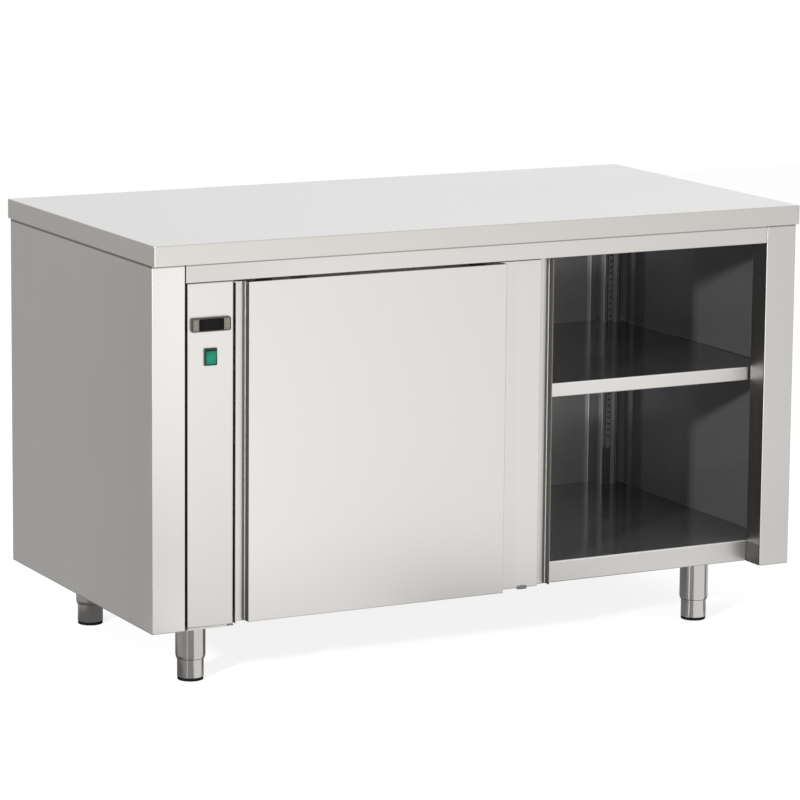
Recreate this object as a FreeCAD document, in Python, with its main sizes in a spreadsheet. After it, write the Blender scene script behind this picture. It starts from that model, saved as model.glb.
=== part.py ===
import FreeCAD, Part
import math
import os
import re

import Sketcher

# Plate warmer cabinet: a heated steel cabinet with two sliding doors, one loose shelf and a
# control panel, on four adjustable feet. Millimetres, +X right, +Y to the back, +Z up.
# The origin lies on the floor under the middle of the worktop.

SIZES = {
    # Whole cabinet
    "overall_width": 1400,
    "overall_depth": 720,
    "overall_height": 860,
    "leg_height": 130,
    "outer_sheet": 1.2,
    "inner_sheet": 0.8,
    "bend_inside": 0.8,
    "insulation": 6,
    "overrun": 5,
    # Worktop
    "worktop_edge": 38,
    "worktop_flange": 15,
    "front_overhang": 12,
    "back_overhang": 14,
    # Side panels with their front posts
    "post_face": 67,
    "post_depth": 52,
    "rear_flange": 30,
    # Header above the doors
    "header_height": 36,
    "header_gap": 1.5,
    "header_flange": 7,
    # Heated space
    "ceiling_drop": 22,
    "deck_rise": 43,
    "deck_return": 15,
    "compartment_width": 169,
    "partition_setback": 8,
    "partition_flange": 12,
    # Control panel
    "panel_gap": 4,
    "panel_width": 94,
    "panel_setback": 1,
    "panel_corner": 3,
    "panel_foot_gap": 4,
    "panel_head_gap": 1,
    "bracket_depth": 14,
    "bracket_inset": 2,
    # Doors
    "door_setback": 3,
    "door_thick": 20,
    "door_gap": 4,
    "door_sheet": 1,
    "door_foot_gap": 3.5,
    "door_head_gap": 6,
    "door_clearance": 2,
    "grip_width": 26,
    "grip_depth": 16.5,
    "front_door_short": 6,
    "door_overlap": 18,
    "rear_door_rest": 88.5,
    # Door track and running gear
    "track_lift": 4,
    "track_wall": 1.5,
    "lane_width": 16,
    "lane_height": 20,
    "slot_width": 6,
    "wheel_radius": 9,
    "wheel_width": 4,
    "wheel_seat_gap": 0.3,
    "axle_radius": 2.5,
    "running_clearance": 0.05,
    "nearness": 0.1,
    "hanger_width": 30,
    "hanger_thick": 2.5,
    "hanger_inset": 60,
    "hanger_foot": 2,
    "hanger_foot_width": 12,
    "stop_gap": 0.5,
    # Guides under the doors
    "guide_width": 18,
    "guide_finger": 2.4,
    "guide_rise": 4,
    "guide_plate": 2,
    "guide_drop_gap": 0.5,
    "guide_lead": 71,
    "guide_spacing": 120,
    # Rear uprights and slotted strips
    "upright_width": 36,
    "upright_depth": 36,
    "upright_standoff": 13,
    "upright_flange": 13.5,
    "strip_width": 17,
    "strip_thick": 2,
    "strip_inset": 3,
    "strip_foot": 80,
    "strip_head": 25,
    "strip_setback": 60,
    "slot_pitch": 13.1,
    "slot_high": 2.6,
    "slot_wide": 6,
    "slot_shift": 3.5,
    # Shelf and its clips
    "shelf_rise": 355,
    "shelf_lip": 28,
    "shelf_return": 12,
    "shelf_setback": 6,
    "shelf_gap": 4,
    "shelf_notch_gap": 2,
    "clip_width": 14,
    "clip_thick": 2,
    "clip_reach": 30,
    "clip_drop": 18,
    # Legs
    "leg_inset": 138,
    "leg_front_inset": 146,
    "leg_rear_inset": 86,
    "flange_radius": 50,
    "flange_thick": 3,
    "sleeve_radius": 28.8,
    "sleeve_bottom": 42,
    "shoulder_height": 6,
    "foot_radius": 25.4,
    "foot_wall": 2,
    "foot_insertion": 64,
    "foot_clearance": 0.1,
    "pad_height": 6.5,
    "pad_radius": 25,
    "bolt_circle": 40,
    "bolt_radius": 3,
    "bolt_hole_gap": 0.3,
    "bolt_head_radius": 6,
    "bolt_head": 4,
    # Thermostat
    "thermostat_drop": 78,
    "bezel_width": 79,
    "bezel_height": 26,
    "bezel_thick": 6,
    "case_width": 70,
    "case_height": 21,
    "case_depth": 56,
    "cutout_gap": 0.4,
    "window_width": 51,
    "window_height": 22,
    "window_depth": 1.5,
    "window_thick": 1,
    "key_width": 9,
    "key_height": 19,
    "key_gap": 0.3,
    "key_proud": 0.6,
    "key_thick": 3,
    "key_travel": 0.8,
    # Mains switch
    "switch_drop": 139,
    "switch_bezel_width": 26,
    "switch_bezel_height": 33,
    "switch_bezel_thick": 2.5,
    "switch_body_width": 22,
    "switch_body_height": 28,
    "switch_body_depth": 26,
    "switch_well_width": 20,
    "switch_well_height": 26.6,
    "switch_well_depth": 16,
    "rocker_width": 19.2,
    "rocker_height": 24,
    "rocker_thick": 9,
    "rocker_proud": 4,
    "rocker_tilt": 7,
    "pin_radius": 1.5,
    # Fan heater on the partition
    "fan_rise": 300,
    "fan_place": 0,
    "housing_half": 120,
    "housing_depth": 60,
    "fan_radius": 75,
    "fan_disc": 2,
    "fan_hub_radius": 12,
    "fan_blade_height": 28,
    "fan_blade_length": 22,
    "fan_blade_thick": 1.5,
    "fan_blade_count": 18,
    "fan_gap": 8,
    "shaft_radius": 4,
    "motor_radius": 40,
    "motor_length": 62,
    "element_ring": 98,
    "element_radius": 4,
    "element_opening": 30,
    "element_gap": 0.3,
    "grille_slot": 5,
    "grille_pitch": 14,
    "intake_high": 120,
    "outlet_high": 190,
    # Mains inlet at the back
    "terminal_width": 60,
    "terminal_depth": 28,
    "terminal_height": 24,
    "terminal_inset": 40,
    "gland_inset": 84,
    "gland_rise": 60,
    "gland_bore": 5,
    "gland_radius": 8,
    "gland_nut": 13,
    "gland_nut_thick": 5,
    "gland_proud": 4,
    "vent_width": 90,
    "vent_slot": 5,
    "vent_pitch": 16,
    "vent_rise": 120,
    "vent_rows": 6,
}

# Places worked out from the sizes, as formulas of the second sheet.
PLACES = {
    "right": "overall_width / 2",
    "front": "front_overhang - overall_depth / 2",
    "back": "overall_depth / 2 - back_overhang",
    "top": "overall_height - worktop_edge",
    "bottom": "leg_height",
    "pan_top": "bottom + outer_sheet",
    "header_bottom": "top - header_height",
    "post_inner": "right - post_face",
    "post_rear": "front + post_depth",
    "lining": "outer_sheet + insulation + inner_sheet",
    "lining_right": "right - lining",
    "back_panel_face": "back - 2 * outer_sheet",
    "lining_back": "back_panel_face - insulation - inner_sheet",
    "cavity_left": "compartment_width - right",
    "partition_left": "cavity_left - outer_sheet",
    "deck_top": "bottom + deck_rise",
    "ceiling": "top - ceiling_drop",
    "panel_left": "panel_gap - post_inner",
    "panel_right": "panel_left + panel_width",
    "panel_middle": "panel_left + panel_width / 2",
    "panel_front": "front + panel_setback",
    "panel_bottom": "bottom + panel_foot_gap",
    "panel_top": "header_bottom - panel_head_gap",
    "door_bottom": "bottom + door_foot_gap",
    "door_top": "header_bottom - door_head_gap",
    "front_door_face": "front + door_setback",
    "front_door_rear": "front_door_face + door_thick",
    "rear_door_face": "front_door_rear + door_gap",
    "rear_door_rear": "rear_door_face + door_thick",
    "opening_middle": "(cavity_left + post_inner) / 2",
    "front_door_left": "cavity_left + door_clearance",
    "front_door_right": "opening_middle - front_door_short",
    "rear_door_width": "post_inner - door_clearance - front_door_right + door_overlap",
    "rear_door_left": "cavity_left + rear_door_rest",
    "rear_door_right": "rear_door_left + rear_door_width",
    "front_lane": "(front_door_face + front_door_rear) / 2",
    "rear_lane": "(rear_door_face + rear_door_rear) / 2",
    "track_bottom": "header_bottom + track_lift",
    "lane_floor": "track_bottom + track_wall",
    "lane_top": "lane_floor + lane_height",
    "axle_height": "lane_floor + wheel_seat_gap + wheel_radius",
    "track_front": "front_lane - lane_width / 2 - track_wall",
    "track_rear": "rear_lane + lane_width / 2 + track_wall",
    "shelf_top": "deck_top + shelf_rise",
    "shelf_bottom": "shelf_top - outer_sheet",
    "shelf_front": "post_rear + shelf_setback",
    "upright_right": "lining_right - upright_standoff",
    "upright_left": "upright_right - upright_width",
    "upright_front": "lining_back - upright_depth",
    "strip_bottom": "deck_top + strip_foot",
    "strip_length": "ceiling - strip_head - strip_bottom",
    "leg_x": "right - leg_inset",
    "leg_front_y": "leg_front_inset - overall_depth / 2",
    "leg_rear_y": "overall_depth / 2 - leg_rear_inset",
    "foot_top": "sleeve_bottom + foot_insertion",
    "thermostat_height": "panel_top - thermostat_drop",
    "bezel_front": "panel_front - bezel_thick",
    "switch_height": "panel_top - switch_drop",
    "switch_front": "panel_front - switch_bezel_thick",
    "rocker_pivot": "switch_front - rocker_proud + rocker_thick",
    "fan_height": "bottom + fan_rise",
    "housing_back": "partition_left - housing_depth",
    "gland_x": "gland_inset - right",
    "gland_z": "bottom + gland_rise",
}

doc = FreeCAD.newDocument("PlateWarmer")
sizes = doc.addObject("Spreadsheet::Sheet", "Sizes")
places = doc.addObject("Spreadsheet::Sheet", "Places")
nodes = {}


def bind(text):
    """Write each known name in an expression with the sheet that holds it."""
    def with_sheet(match):
        word = match.group(0)
        if word in SIZES:
            return "Sizes." + word
        if word in PLACES:
            return "Places." + word
        return word
    return re.sub(r"[a-z][a-z_]*", with_sheet, text)


def number(text):
    """Value of an expression of sheet names."""
    return float(sizes.evalExpression(bind(text)))


def fill_sheets():
    """Write the driving sizes as plain numbers and the places as formulas."""
    for row, (name, value) in enumerate(SIZES.items(), start=1):
        sizes.set(f"A{row}", name.replace("_", " "))
        sizes.set(f"B{row}", str(value))
        sizes.setAlias(f"B{row}", name)
    doc.recompute()
    for row, (name, formula) in enumerate(PLACES.items(), start=1):
        places.set(f"A{row}", name.replace("_", " "))
        places.set(f"B{row}", "=" + bind(formula).replace("Places.", ""))
        places.setAlias(f"B{row}", name)
    doc.recompute()


def keep(obj, node):
    """Give a finished sub-part its own label and list it for writing."""
    obj.Label = node
    nodes[node] = obj
    return obj


def place(obj, x="0", y="0", z="0", rotation=None):
    """Bind an object's base point to the sheets, turned first where asked."""
    if rotation is not None:
        obj.Placement = FreeCAD.Placement(FreeCAD.Vector(), rotation)
    for axis, text in zip("xyz", (x, y, z)):
        obj.setExpression(f"Placement.Base.{axis}", bind(text))
    return obj


def block(x, y, z, name="Block"):
    """Box between two expressions along each axis."""
    box = doc.addObject("Part::Box", name)
    for size, (low, high) in zip(("Length", "Width", "Height"), (x, y, z)):
        box.setExpression(size, bind(f"({high}) - ({low})"))
    return place(box, x[0], y[0], z[0])


TURNS = {
    "x": FreeCAD.Rotation(FreeCAD.Vector(0, 1, 0), 90),
    "y": FreeCAD.Rotation(FreeCAD.Vector(1, 0, 0), -90),
    "z": FreeCAD.Rotation(),
}


def rod(axis, low, high, first, second, radius, name="Rod"):
    """Cylinder along an axis, its centre line at two expressions across the others."""
    cylinder = doc.addObject("Part::Cylinder", name)
    cylinder.setExpression("Radius", bind(radius))
    cylinder.setExpression("Height", bind(f"({high}) - ({low})"))
    base = {"x": (low, first, second), "y": (first, low, second), "z": (first, second, low)}[axis]
    return place(cylinder, *base, rotation=TURNS[axis])


def cone(low, high, x, y, low_radius, high_radius):
    """Upright cone between two heights."""
    shape = doc.addObject("Part::Cone", "Cone")
    shape.setExpression("Radius1", bind(low_radius))
    shape.setExpression("Radius2", bind(high_radius))
    shape.setExpression("Height", bind(f"({high}) - ({low})"))
    return place(shape, x, y, low)


def group(parts, name="Group"):
    """Several separate solids as one shape."""
    compound = doc.addObject("Part::Compound", name)
    compound.Links = parts
    return compound


def fuse(parts, name="Fuse"):
    """Join solids into one."""
    joined = doc.addObject("Part::MultiFuse", name)
    joined.Shapes = parts
    joined.Refine = True
    return joined


def cut(base, tools, name="Cut"):
    """Take one or more tools away from a base."""
    result = doc.addObject("Part::Cut", name)
    result.Base = base
    result.Tool = tools[0] if len(tools) == 1 else group(tools)
    return result


PLANES = {"z": "XY_Plane", "y": "XZ_Plane", "x": "YZ_Plane"}


def outline(body, axis, corners, level):
    """Sketch of a closed outline across an axis, each corner bound to the sheets."""
    sketch = body.newObject("Sketcher::SketchObject", "Outline")
    plane = [item for item in body.Origin.OriginFeatures if item.Role == PLANES[axis]][0]
    sketch.AttachmentSupport = [(plane, "")]
    sketch.MapMode = "FlatFace"
    sign = "-" if axis == "y" else ""
    sketch.setExpression("AttachmentOffset.Base.z", bind(f"{sign}({level})"))
    points = [FreeCAD.Vector(number(a), number(b), 0) for a, b in corners]
    count = len(points)
    for index in range(count):
        sketch.addGeometry(Part.LineSegment(points[index], points[(index + 1) % count]), False)
    for index in range(count):
        sketch.addConstraint(Sketcher.Constraint("Coincident", index, 2, (index + 1) % count, 1))
    for index, (a, b) in enumerate(corners):
        for kind, text, value in (("DistanceX", a, points[index].x), ("DistanceY", b, points[index].y)):
            item = sketch.addConstraint(Sketcher.Constraint(kind, -1, 1, index, 1, value))
            sketch.setExpression(f"Constraints[{item}]", bind(text))
    return sketch


def pad(body, axis, corners, low, high):
    """Solid between two levels along an axis, added to a body."""
    start = high if axis == "y" else low
    feature = body.newObject("PartDesign::Pad", "Pad")
    feature.Profile = outline(body, axis, corners, start)
    feature.setExpression("Length", bind(f"({high}) - ({low})"))
    doc.recompute()
    return feature


def pocket(body, axis, corners, low, high):
    """Hollow between two levels along an axis, taken from a body."""
    volume = body.Shape.Volume
    start = low if axis == "y" else high
    feature = body.newObject("PartDesign::Pocket", "Pocket")
    feature.Profile = outline(body, axis, corners, start)
    feature.setExpression("Length", bind(f"({high}) - ({low})"))
    doc.recompute()
    if body.Shape.Volume >= volume:
        raise RuntimeError(f"{body.Label}: a pocket takes nothing away")
    return feature


def rectangle(a, b):
    """Corners of a rectangle between two expressions each way."""
    return [(a[0], b[0]), (a[1], b[0]), (a[1], b[1]), (a[0], b[1])]


def round_edges(body, axis, places_across, radius):
    """Fillet the straight edges that run along an axis through the given places."""
    doc.recompute()
    keys = {"x": ("y", "z"), "y": ("x", "z"), "z": ("x", "y")}[axis]
    targets = [(number(a), number(b)) for a, b in places_across]
    near = number("nearness")
    names = []
    for index, edge in enumerate(body.Shape.Edges, start=1):
        ends = [vertex.Point for vertex in edge.Vertexes]
        if len(ends) != 2 or abs(getattr(ends[0], axis) - getattr(ends[1], axis)) < near:
            continue
        across = [tuple(getattr(end, key) for key in keys) for end in ends]
        if math.dist(across[0], across[1]) > near:
            continue
        if any(math.dist(across[0], target) < near for target in targets):
            names.append(f"Edge{index}")
    if not names:
        raise RuntimeError(f"{body.Label}: no edge to round")
    carrier = body.Tip
    feature = body.newObject("PartDesign::Fillet", "Round")
    feature.Base = (carrier, names)
    feature.setExpression("Radius", bind(radius))
    body.Tip = feature
    doc.recompute()
    return feature


def new_body(node):
    """Empty body that becomes one node."""
    return keep(doc.addObject("PartDesign::Body", "Body"), node)


def around(middle, size):
    """Two expressions, half a size either side of a middle."""
    return (f"{middle} - {size} / 2", f"{middle} + {size} / 2")


def mirrored(corners, side):
    """Corners with their first coordinate on the right (1) or the left (-1)."""
    return [(f"{side} * ({a})", b) for a, b in corners]


def add_worktop():
    """Worktop sheet with folded edges and the board that fills it."""
    body = new_body("worktop")
    half = "overall_depth / 2"
    bend = "bend_inside + outer_sheet"
    pad(body, "z", rectangle(("-right", "right"), (f"-{half}", half)), "top", "overall_height")
    ends = [(f"{sx}right", f"{sy}{half}") for sx in ("", "-") for sy in ("", "-")]
    round_edges(body, "z", ends, bend)
    round_edges(body, "x", [(f"{sy}{half}", "overall_height") for sy in ("", "-")], bend)
    inner_x = ("outer_sheet - right", "right - outer_sheet")
    inner_y = (f"outer_sheet - {half}", f"{half} - outer_sheet")
    pocket(body, "z", rectangle(inner_x, inner_y), "top + outer_sheet", "overall_height - outer_sheet")
    mouth_x = ("worktop_flange - right", "right - worktop_flange")
    mouth_y = (f"worktop_flange - {half}", f"{half} - worktop_flange")
    pocket(body, "z", rectangle(mouth_x, mouth_y), "top", "top + 2 * outer_sheet")

    upper = block(inner_x, inner_y, ("top + outer_sheet", "overall_height - outer_sheet"))
    lower = block(mouth_x, mouth_y, ("top", "top + outer_sheet"))
    keep(fuse([upper, lower]), "worktop_board")


def add_side_panels():
    """Each side is one sheet, folded round the front as a post and round the back."""
    t = "outer_sheet"
    corners = [
        ("right - rear_flange", "back"),
        ("right", "back"),
        ("right", "front"),
        ("post_inner", "front"),
        ("post_inner", "post_rear"),
        ("lining_right", "post_rear"),
        ("lining_right", f"post_rear - {t}"),
        (f"post_inner + {t}", f"post_rear - {t}"),
        (f"post_inner + {t}", f"front + {t}"),
        (f"right - {t}", f"front + {t}"),
        (f"right - {t}", f"back - {t}"),
        ("right - rear_flange", f"back - {t}"),
    ]
    for node, side in (("right_side_panel", 1), ("left_side_panel", -1)):
        body = new_body(node)
        pad(body, "z", mirrored(corners, side), "bottom", "top")
        round_edges(body, "z", mirrored(corners[1:5], side), f"bend_inside + {t}")
        round_edges(body, "z", mirrored(corners[7:11], side), "bend_inside")


def add_back_panel():
    """Outer back sheet with air slots behind the control compartment and the gland's hole."""
    end = "right - outer_sheet - bend_inside"
    sheet = block((f"-({end})", end), ("back_panel_face", "back - outer_sheet"), ("bottom", "top"))
    y = ("back_panel_face - overrun", "back + overrun")
    x = around("gland_x", "vent_width")
    tools = []
    for row in range(int(number("vent_rows"))):
        low = f"bottom + vent_rise + {row} * vent_pitch"
        high = f"top - vent_rise - (vent_rows - {row}) * vent_pitch"
        for level in (low, high):
            tools.append(block(x, y, (level, f"{level} + vent_slot")))
    tools.append(rod("y", y[0], y[1], "gland_x", "gland_z", "gland_radius + bolt_hole_gap"))
    keep(cut(sheet, tools), "back_panel")


def add_header():
    """Folded rail above the doors, between the posts."""
    t = "outer_sheet"
    corners = [
        ("front", "header_bottom"),
        ("front + header_flange", "header_bottom"),
        ("front + header_flange", f"header_bottom + {t}"),
        (f"front + {t}", f"header_bottom + {t}"),
        (f"front + {t}", f"top - {t}"),
        ("track_front", f"top - {t}"),
        ("track_front", "top"),
        ("front", "top"),
    ]
    body = new_body("header")
    pad(body, "x", corners, "header_gap - post_inner", "post_inner - header_gap")
    round_edges(body, "x", [corners[0]], f"bend_inside + {t}")


def add_linings():
    """Inner sheets of the heated space and the insulation behind them."""
    inner = "lining_right + inner_sheet"
    behind = "lining_back + inner_sheet"
    front_x, front_y = ("cavity_left", "post_inner"), ("track_rear", "post_rear")
    wide_x, wide_y = ("cavity_left", "lining_right"), ("post_rear", "lining_back")
    sheet_z = ("ceiling", "ceiling + inner_sheet")
    wall_z = ("deck_top", "ceiling + inner_sheet")
    keep(fuse([block(front_x, front_y, sheet_z), block(wide_x, wide_y, sheet_z)]), "ceiling_lining")
    keep(block(wide_x, ("lining_back", behind), wall_z), "back_lining")
    keep(block(("lining_right", inner), ("post_rear", behind), wall_z), "right_lining")

    outside = "right - outer_sheet"
    full_z = ("pan_top", "top")
    roof_z = ("ceiling + inner_sheet", "top")
    under_z = ("pan_top", "deck_top - outer_sheet")
    slabs = [
        block((inner, outside), ("post_rear", behind), full_z),
        block(("cavity_left", outside), (behind, "back_panel_face"), full_z),
        fuse([block(front_x, front_y, roof_z), block(("cavity_left", inner), ("post_rear", behind), roof_z)]),
        block(("cavity_left", inner), ("post_rear + deck_return", behind), under_z),
    ]
    keep(group(slabs), "insulation_slabs")


def add_partition():
    """Wall between the control compartment and the heated space, with air slots."""
    t = "outer_sheet"
    corners = [
        ("cavity_left", "front + partition_setback"),
        ("cavity_left", "back_panel_face"),
        ("partition_left - partition_flange", "back_panel_face"),
        ("partition_left - partition_flange", f"back_panel_face - {t}"),
        ("partition_left", f"back_panel_face - {t}"),
        ("partition_left", f"front + partition_setback + {t}"),
        ("partition_left - partition_flange", f"front + partition_setback + {t}"),
        ("partition_left - partition_flange", "front + partition_setback"),
    ]
    body = doc.addObject("PartDesign::Body", "Body")
    pad(body, "z", corners, "pan_top", "top")
    round_edges(body, "z", [corners[0]], f"bend_inside + {t}")
    x = ("partition_left - overrun", "cavity_left + overrun")
    tools = []
    intake = [(column, "intake_high") for column in (-4, -3, -2, -1, 0, 1, 2, 3, 4)]
    outlet = [(column, "outlet_high") for column in (-7, -6, 6, 7)]
    for column, high in intake + outlet:
        y = around(f"fan_place + {column} * grille_pitch", "grille_slot")
        tools.append(block(x, y, around("fan_height", high)))
    keep(cut(body, tools), "partition")


def add_floor():
    """Folded deck of the heated space and the pan that closes the cabinet below."""
    t = "outer_sheet"
    corners = [
        ("post_rear", "deck_top"),
        ("post_rear", "bottom"),
        ("post_rear + deck_return", "bottom"),
        ("post_rear + deck_return", "pan_top"),
        (f"post_rear + {t}", "pan_top"),
        (f"post_rear + {t}", f"deck_top - {t}"),
        ("lining_back + inner_sheet", f"deck_top - {t}"),
        ("lining_back + inner_sheet", "deck_top"),
    ]
    deck = new_body("bottom_deck")
    pad(deck, "x", corners, "cavity_left", "lining_right + inner_sheet")
    round_edges(deck, "x", corners[:2], f"bend_inside + {t}")
    past_post = ("post_inner", "lining_right + inner_sheet + overrun")
    lip = rectangle(past_post, ("post_rear - overrun", f"post_rear + {t}"))
    pocket(deck, "z", lip, "bottom - overrun", f"deck_top - {t}")

    plan = [
        ("outer_sheet - right", "post_rear"),
        ("panel_left", "post_rear"),
        ("panel_left", "panel_front + panel_setback"),
        ("partition_left", "panel_front + panel_setback"),
        ("partition_left", "post_rear + deck_return"),
        ("right - outer_sheet", "post_rear + deck_return"),
        ("right - outer_sheet", "back_panel_face"),
        ("outer_sheet - right", "back_panel_face"),
    ]
    pan = doc.addObject("PartDesign::Body", "Body")
    pad(pan, "z", plan, "bottom", "pan_top")
    holes = []
    past = ("bottom - overrun", "pan_top + overrun")
    for leg in leg_places():
        for x, y in bolt_places(leg):
            holes.append(rod("z", *past, x, y, "bolt_radius + bolt_hole_gap"))
    keep(cut(pan, holes), "bottom_pan")


def leg_places():
    """Centres of the four legs, front ones first, each pair from the left."""
    return [(f"{side} * leg_x", row) for row in ("leg_front_y", "leg_rear_y") for side in (-1, 1)]


def bolt_places(leg):
    """Centres of the bolts in one leg's flange."""
    reach = "bolt_circle * sqrt(0.5)"
    signs = [(sx, sy) for sx in (-1, 1) for sy in (-1, 1)]
    return [(f"{leg[0]} + {sx} * {reach}", f"{leg[1]} + {sy} * {reach}") for sx, sy in signs]


def add_legs():
    """Flanged sleeves bolted under the pan and the feet that slide in them."""
    flange_bottom = "bottom - flange_thick"
    sleeves = []
    bolts = []
    for x, y in leg_places():
        plate = rod("z", flange_bottom, "bottom", x, y, "flange_radius")
        tube = rod("z", "sleeve_bottom + shoulder_height", "bottom", x, y, "sleeve_radius")
        shoulder = cone("sleeve_bottom", "sleeve_bottom + shoulder_height", x, y,
                        "(sleeve_radius + foot_radius) / 2", "sleeve_radius")
        bore = rod("z", "sleeve_bottom - overrun", flange_bottom, x, y, "foot_radius + foot_clearance")
        holes = []
        for bx, by in bolt_places((x, y)):
            hole_z = (f"{flange_bottom} - overrun", "bottom + overrun")
            holes.append(rod("z", *hole_z, bx, by, "bolt_radius + bolt_hole_gap"))
            shank = rod("z", flange_bottom, "pan_top", bx, by, "bolt_radius")
            head = rod("z", f"{flange_bottom} - bolt_head", flange_bottom, bx, by, "bolt_head_radius")
            bolts.append(fuse([shank, head]))
        sleeves.append(cut(fuse([plate, tube, shoulder]), [bore] + holes))
    keep(group(sleeves), "leg_sleeves")
    keep(group(bolts), "leg_bolts")

    names = ("front_left", "front_right", "rear_left", "rear_right")
    for name, (x, y) in zip(names, leg_places()):
        tube = rod("z", "pad_height", "foot_top", x, y, "foot_radius")
        hollow = rod("z", "pad_height + foot_wall", "foot_top + overrun", x, y, "foot_radius - foot_wall")
        keep(cut(tube, [hollow]), f"foot_{name}")
        keep(rod("z", "0", "pad_height", x, y, "pad_radius"), f"foot_pad_{name}")


def add_control_panel():
    """Folded front of the control compartment, with its two cut-outs and its bracket."""
    t = "outer_sheet"
    body = new_body("control_panel")
    panel_x = ("panel_left", "panel_right")
    panel_z = ("panel_bottom", "panel_top")
    y = ("panel_front", "front + partition_setback")
    pad(body, "y", rectangle(panel_x, panel_z), *y)
    round_edges(body, "z", [(x, "panel_front") for x in panel_x], f"bend_inside + {t}")
    round_edges(body, "y", [(x, z) for x in panel_x for z in panel_z], "panel_corner")
    inner_x = (f"panel_left + {t}", f"panel_right - {t}")
    inner_z = (f"panel_bottom + {t}", f"panel_top - {t}")
    pocket(body, "y", rectangle(inner_x, inner_z), f"panel_front + {t}", f"{y[1]} + overrun")
    thermostat = ("thermostat_height", "case_width", "case_height")
    switch = ("switch_height", "switch_body_width", "switch_body_height")
    for middle, width, height in (thermostat, switch):
        hole = rectangle(around("panel_middle", f"({width} + 2 * cutout_gap)"),
                         around(middle, f"({height} + 2 * cutout_gap)"))
        pocket(body, "y", hole, "panel_front - overrun", f"panel_front + 2 * {t}")

    x = ("panel_left + bracket_inset", "partition_left - partition_flange - bracket_inset")
    y = ("panel_front + bracket_inset", "panel_front + bracket_inset + bracket_depth")
    foot = block(x, y, ("pan_top", f"pan_top + {t}"))
    web = block(x, (y[0], f"{y[0]} + {t}"), ("pan_top", "panel_bottom"))
    head = block(x, y, (f"panel_bottom - {t}", "panel_bottom"))
    keep(fuse([foot, web, head]), "panel_bracket")


def snap_in(body, bezel, case, middle, front, depth, corner):
    """Rounded bezel in front of the panel with its case behind, centred on the panel's middle line."""
    bezel_x, bezel_z = around("panel_middle", bezel[0]), around(middle, bezel[1])
    pad(body, "y", rectangle(bezel_x, bezel_z), front, "panel_front")
    round_edges(body, "y", [(a, b) for a in bezel_x for b in bezel_z], corner)
    case_plan = rectangle(around("panel_middle", case[0]), around(middle, case[1]))
    pad(body, "y", case_plan, "panel_front", f"panel_front + {depth}")


def add_thermostat():
    """Controller behind the panel: case with bezel, dark window and two keys."""
    middle_z = "thermostat_height"
    body = new_body("thermostat_case")
    snap_in(body, ("bezel_width", "bezel_height"), ("case_width", "case_height"), middle_z,
            "bezel_front", "case_depth", "panel_corner")
    window_x, window_z = around("panel_middle", "window_width"), around(middle_z, "window_height")
    window_y = ("bezel_front + window_depth - window_thick", "bezel_front + window_depth")
    pocket(body, "y", rectangle(window_x, window_z), "bezel_front - overrun", window_y[1])
    keep(block(window_x, window_y, window_z), "thermostat_window")

    key_front = "bezel_front - key_proud"
    well_floor = f"{key_front} + key_thick + key_travel + key_gap"
    for node, side in (("left_key", -1), ("right_key", 1)):
        middle_x = f"panel_middle + {side} * (window_width + bezel_width) / 4"
        well_x = around(middle_x, "(key_width + 2 * key_gap)")
        well_z = around(middle_z, "(key_height + 2 * key_gap)")
        pocket(body, "y", rectangle(well_x, well_z), "bezel_front - overrun", well_floor)
        plan = rectangle(around(middle_x, "key_width"), around(middle_z, "key_height"))
        pad(new_body(node), "y", plan, key_front, f"{key_front} + key_thick")


def add_switch():
    """Mains switch: snap-in housing and its lit rocker, resting tilted one way."""
    body = doc.addObject("PartDesign::Body", "Body")
    snap_in(body, ("switch_bezel_width", "switch_bezel_height"), ("switch_body_width", "switch_body_height"),
            "switch_height", "switch_front", "switch_body_depth", "panel_corner / 2")
    well_x = around("panel_middle", "switch_well_width")
    well_z = around("switch_height", "switch_well_height")
    pocket(body, "y", rectangle(well_x, well_z), "switch_front - overrun", "switch_front + switch_well_depth")

    rocker = doc.addObject("Part::Box", "Rocker")
    rocker.setExpression("Length", bind("rocker_width"))
    rocker.setExpression("Width", bind("rocker_thick"))
    rocker.setExpression("Height", bind("rocker_height"))
    tilt = FreeCAD.Rotation(FreeCAD.Vector(1, 0, 0), number("rocker_tilt"))
    rise = "rocker_height / 2 * cos(rocker_tilt) + rocker_thick * sin(rocker_tilt)"
    reach = "rocker_thick * cos(rocker_tilt) - rocker_height / 2 * sin(rocker_tilt)"
    corner = ("panel_middle - rocker_width / 2", f"rocker_pivot - ({reach})", f"switch_height - ({rise})")
    place(rocker, *corner, rotation=tilt)
    pin_x = around("panel_middle", "(switch_body_width - key_gap)")
    pin = rod("x", *pin_x, "rocker_pivot", "switch_height", "pin_radius")
    keep(fuse([rocker, pin]), "switch_rocker")

    seat_x = around("panel_middle", "(switch_body_width + overrun)")
    seat = rod("x", *seat_x, "rocker_pivot", "switch_height", "pin_radius + running_clearance")
    keep(cut(body, [seat]), "switch_housing")


def door_corners(left, right, face, rear):
    """Plan of a door's folded skin, its recessed grip at the left end."""
    s = "door_sheet"
    floor = f"{face} + grip_depth"
    wall = f"{left} + {s} + grip_width"
    return [
        (left, face),
        (left, f"{floor} + {s}"),
        (f"{wall} + {s}", f"{floor} + {s}"),
        (f"{wall} + {s}", f"{face} + {s}"),
        (f"{right} - {s}", f"{face} + {s}"),
        (f"{right} - {s}", rear),
        (right, rear),
        (right, face),
        (wall, face),
        (wall, floor),
        (f"{left} + {s}", floor),
        (f"{left} + {s}", face),
    ]


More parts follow.
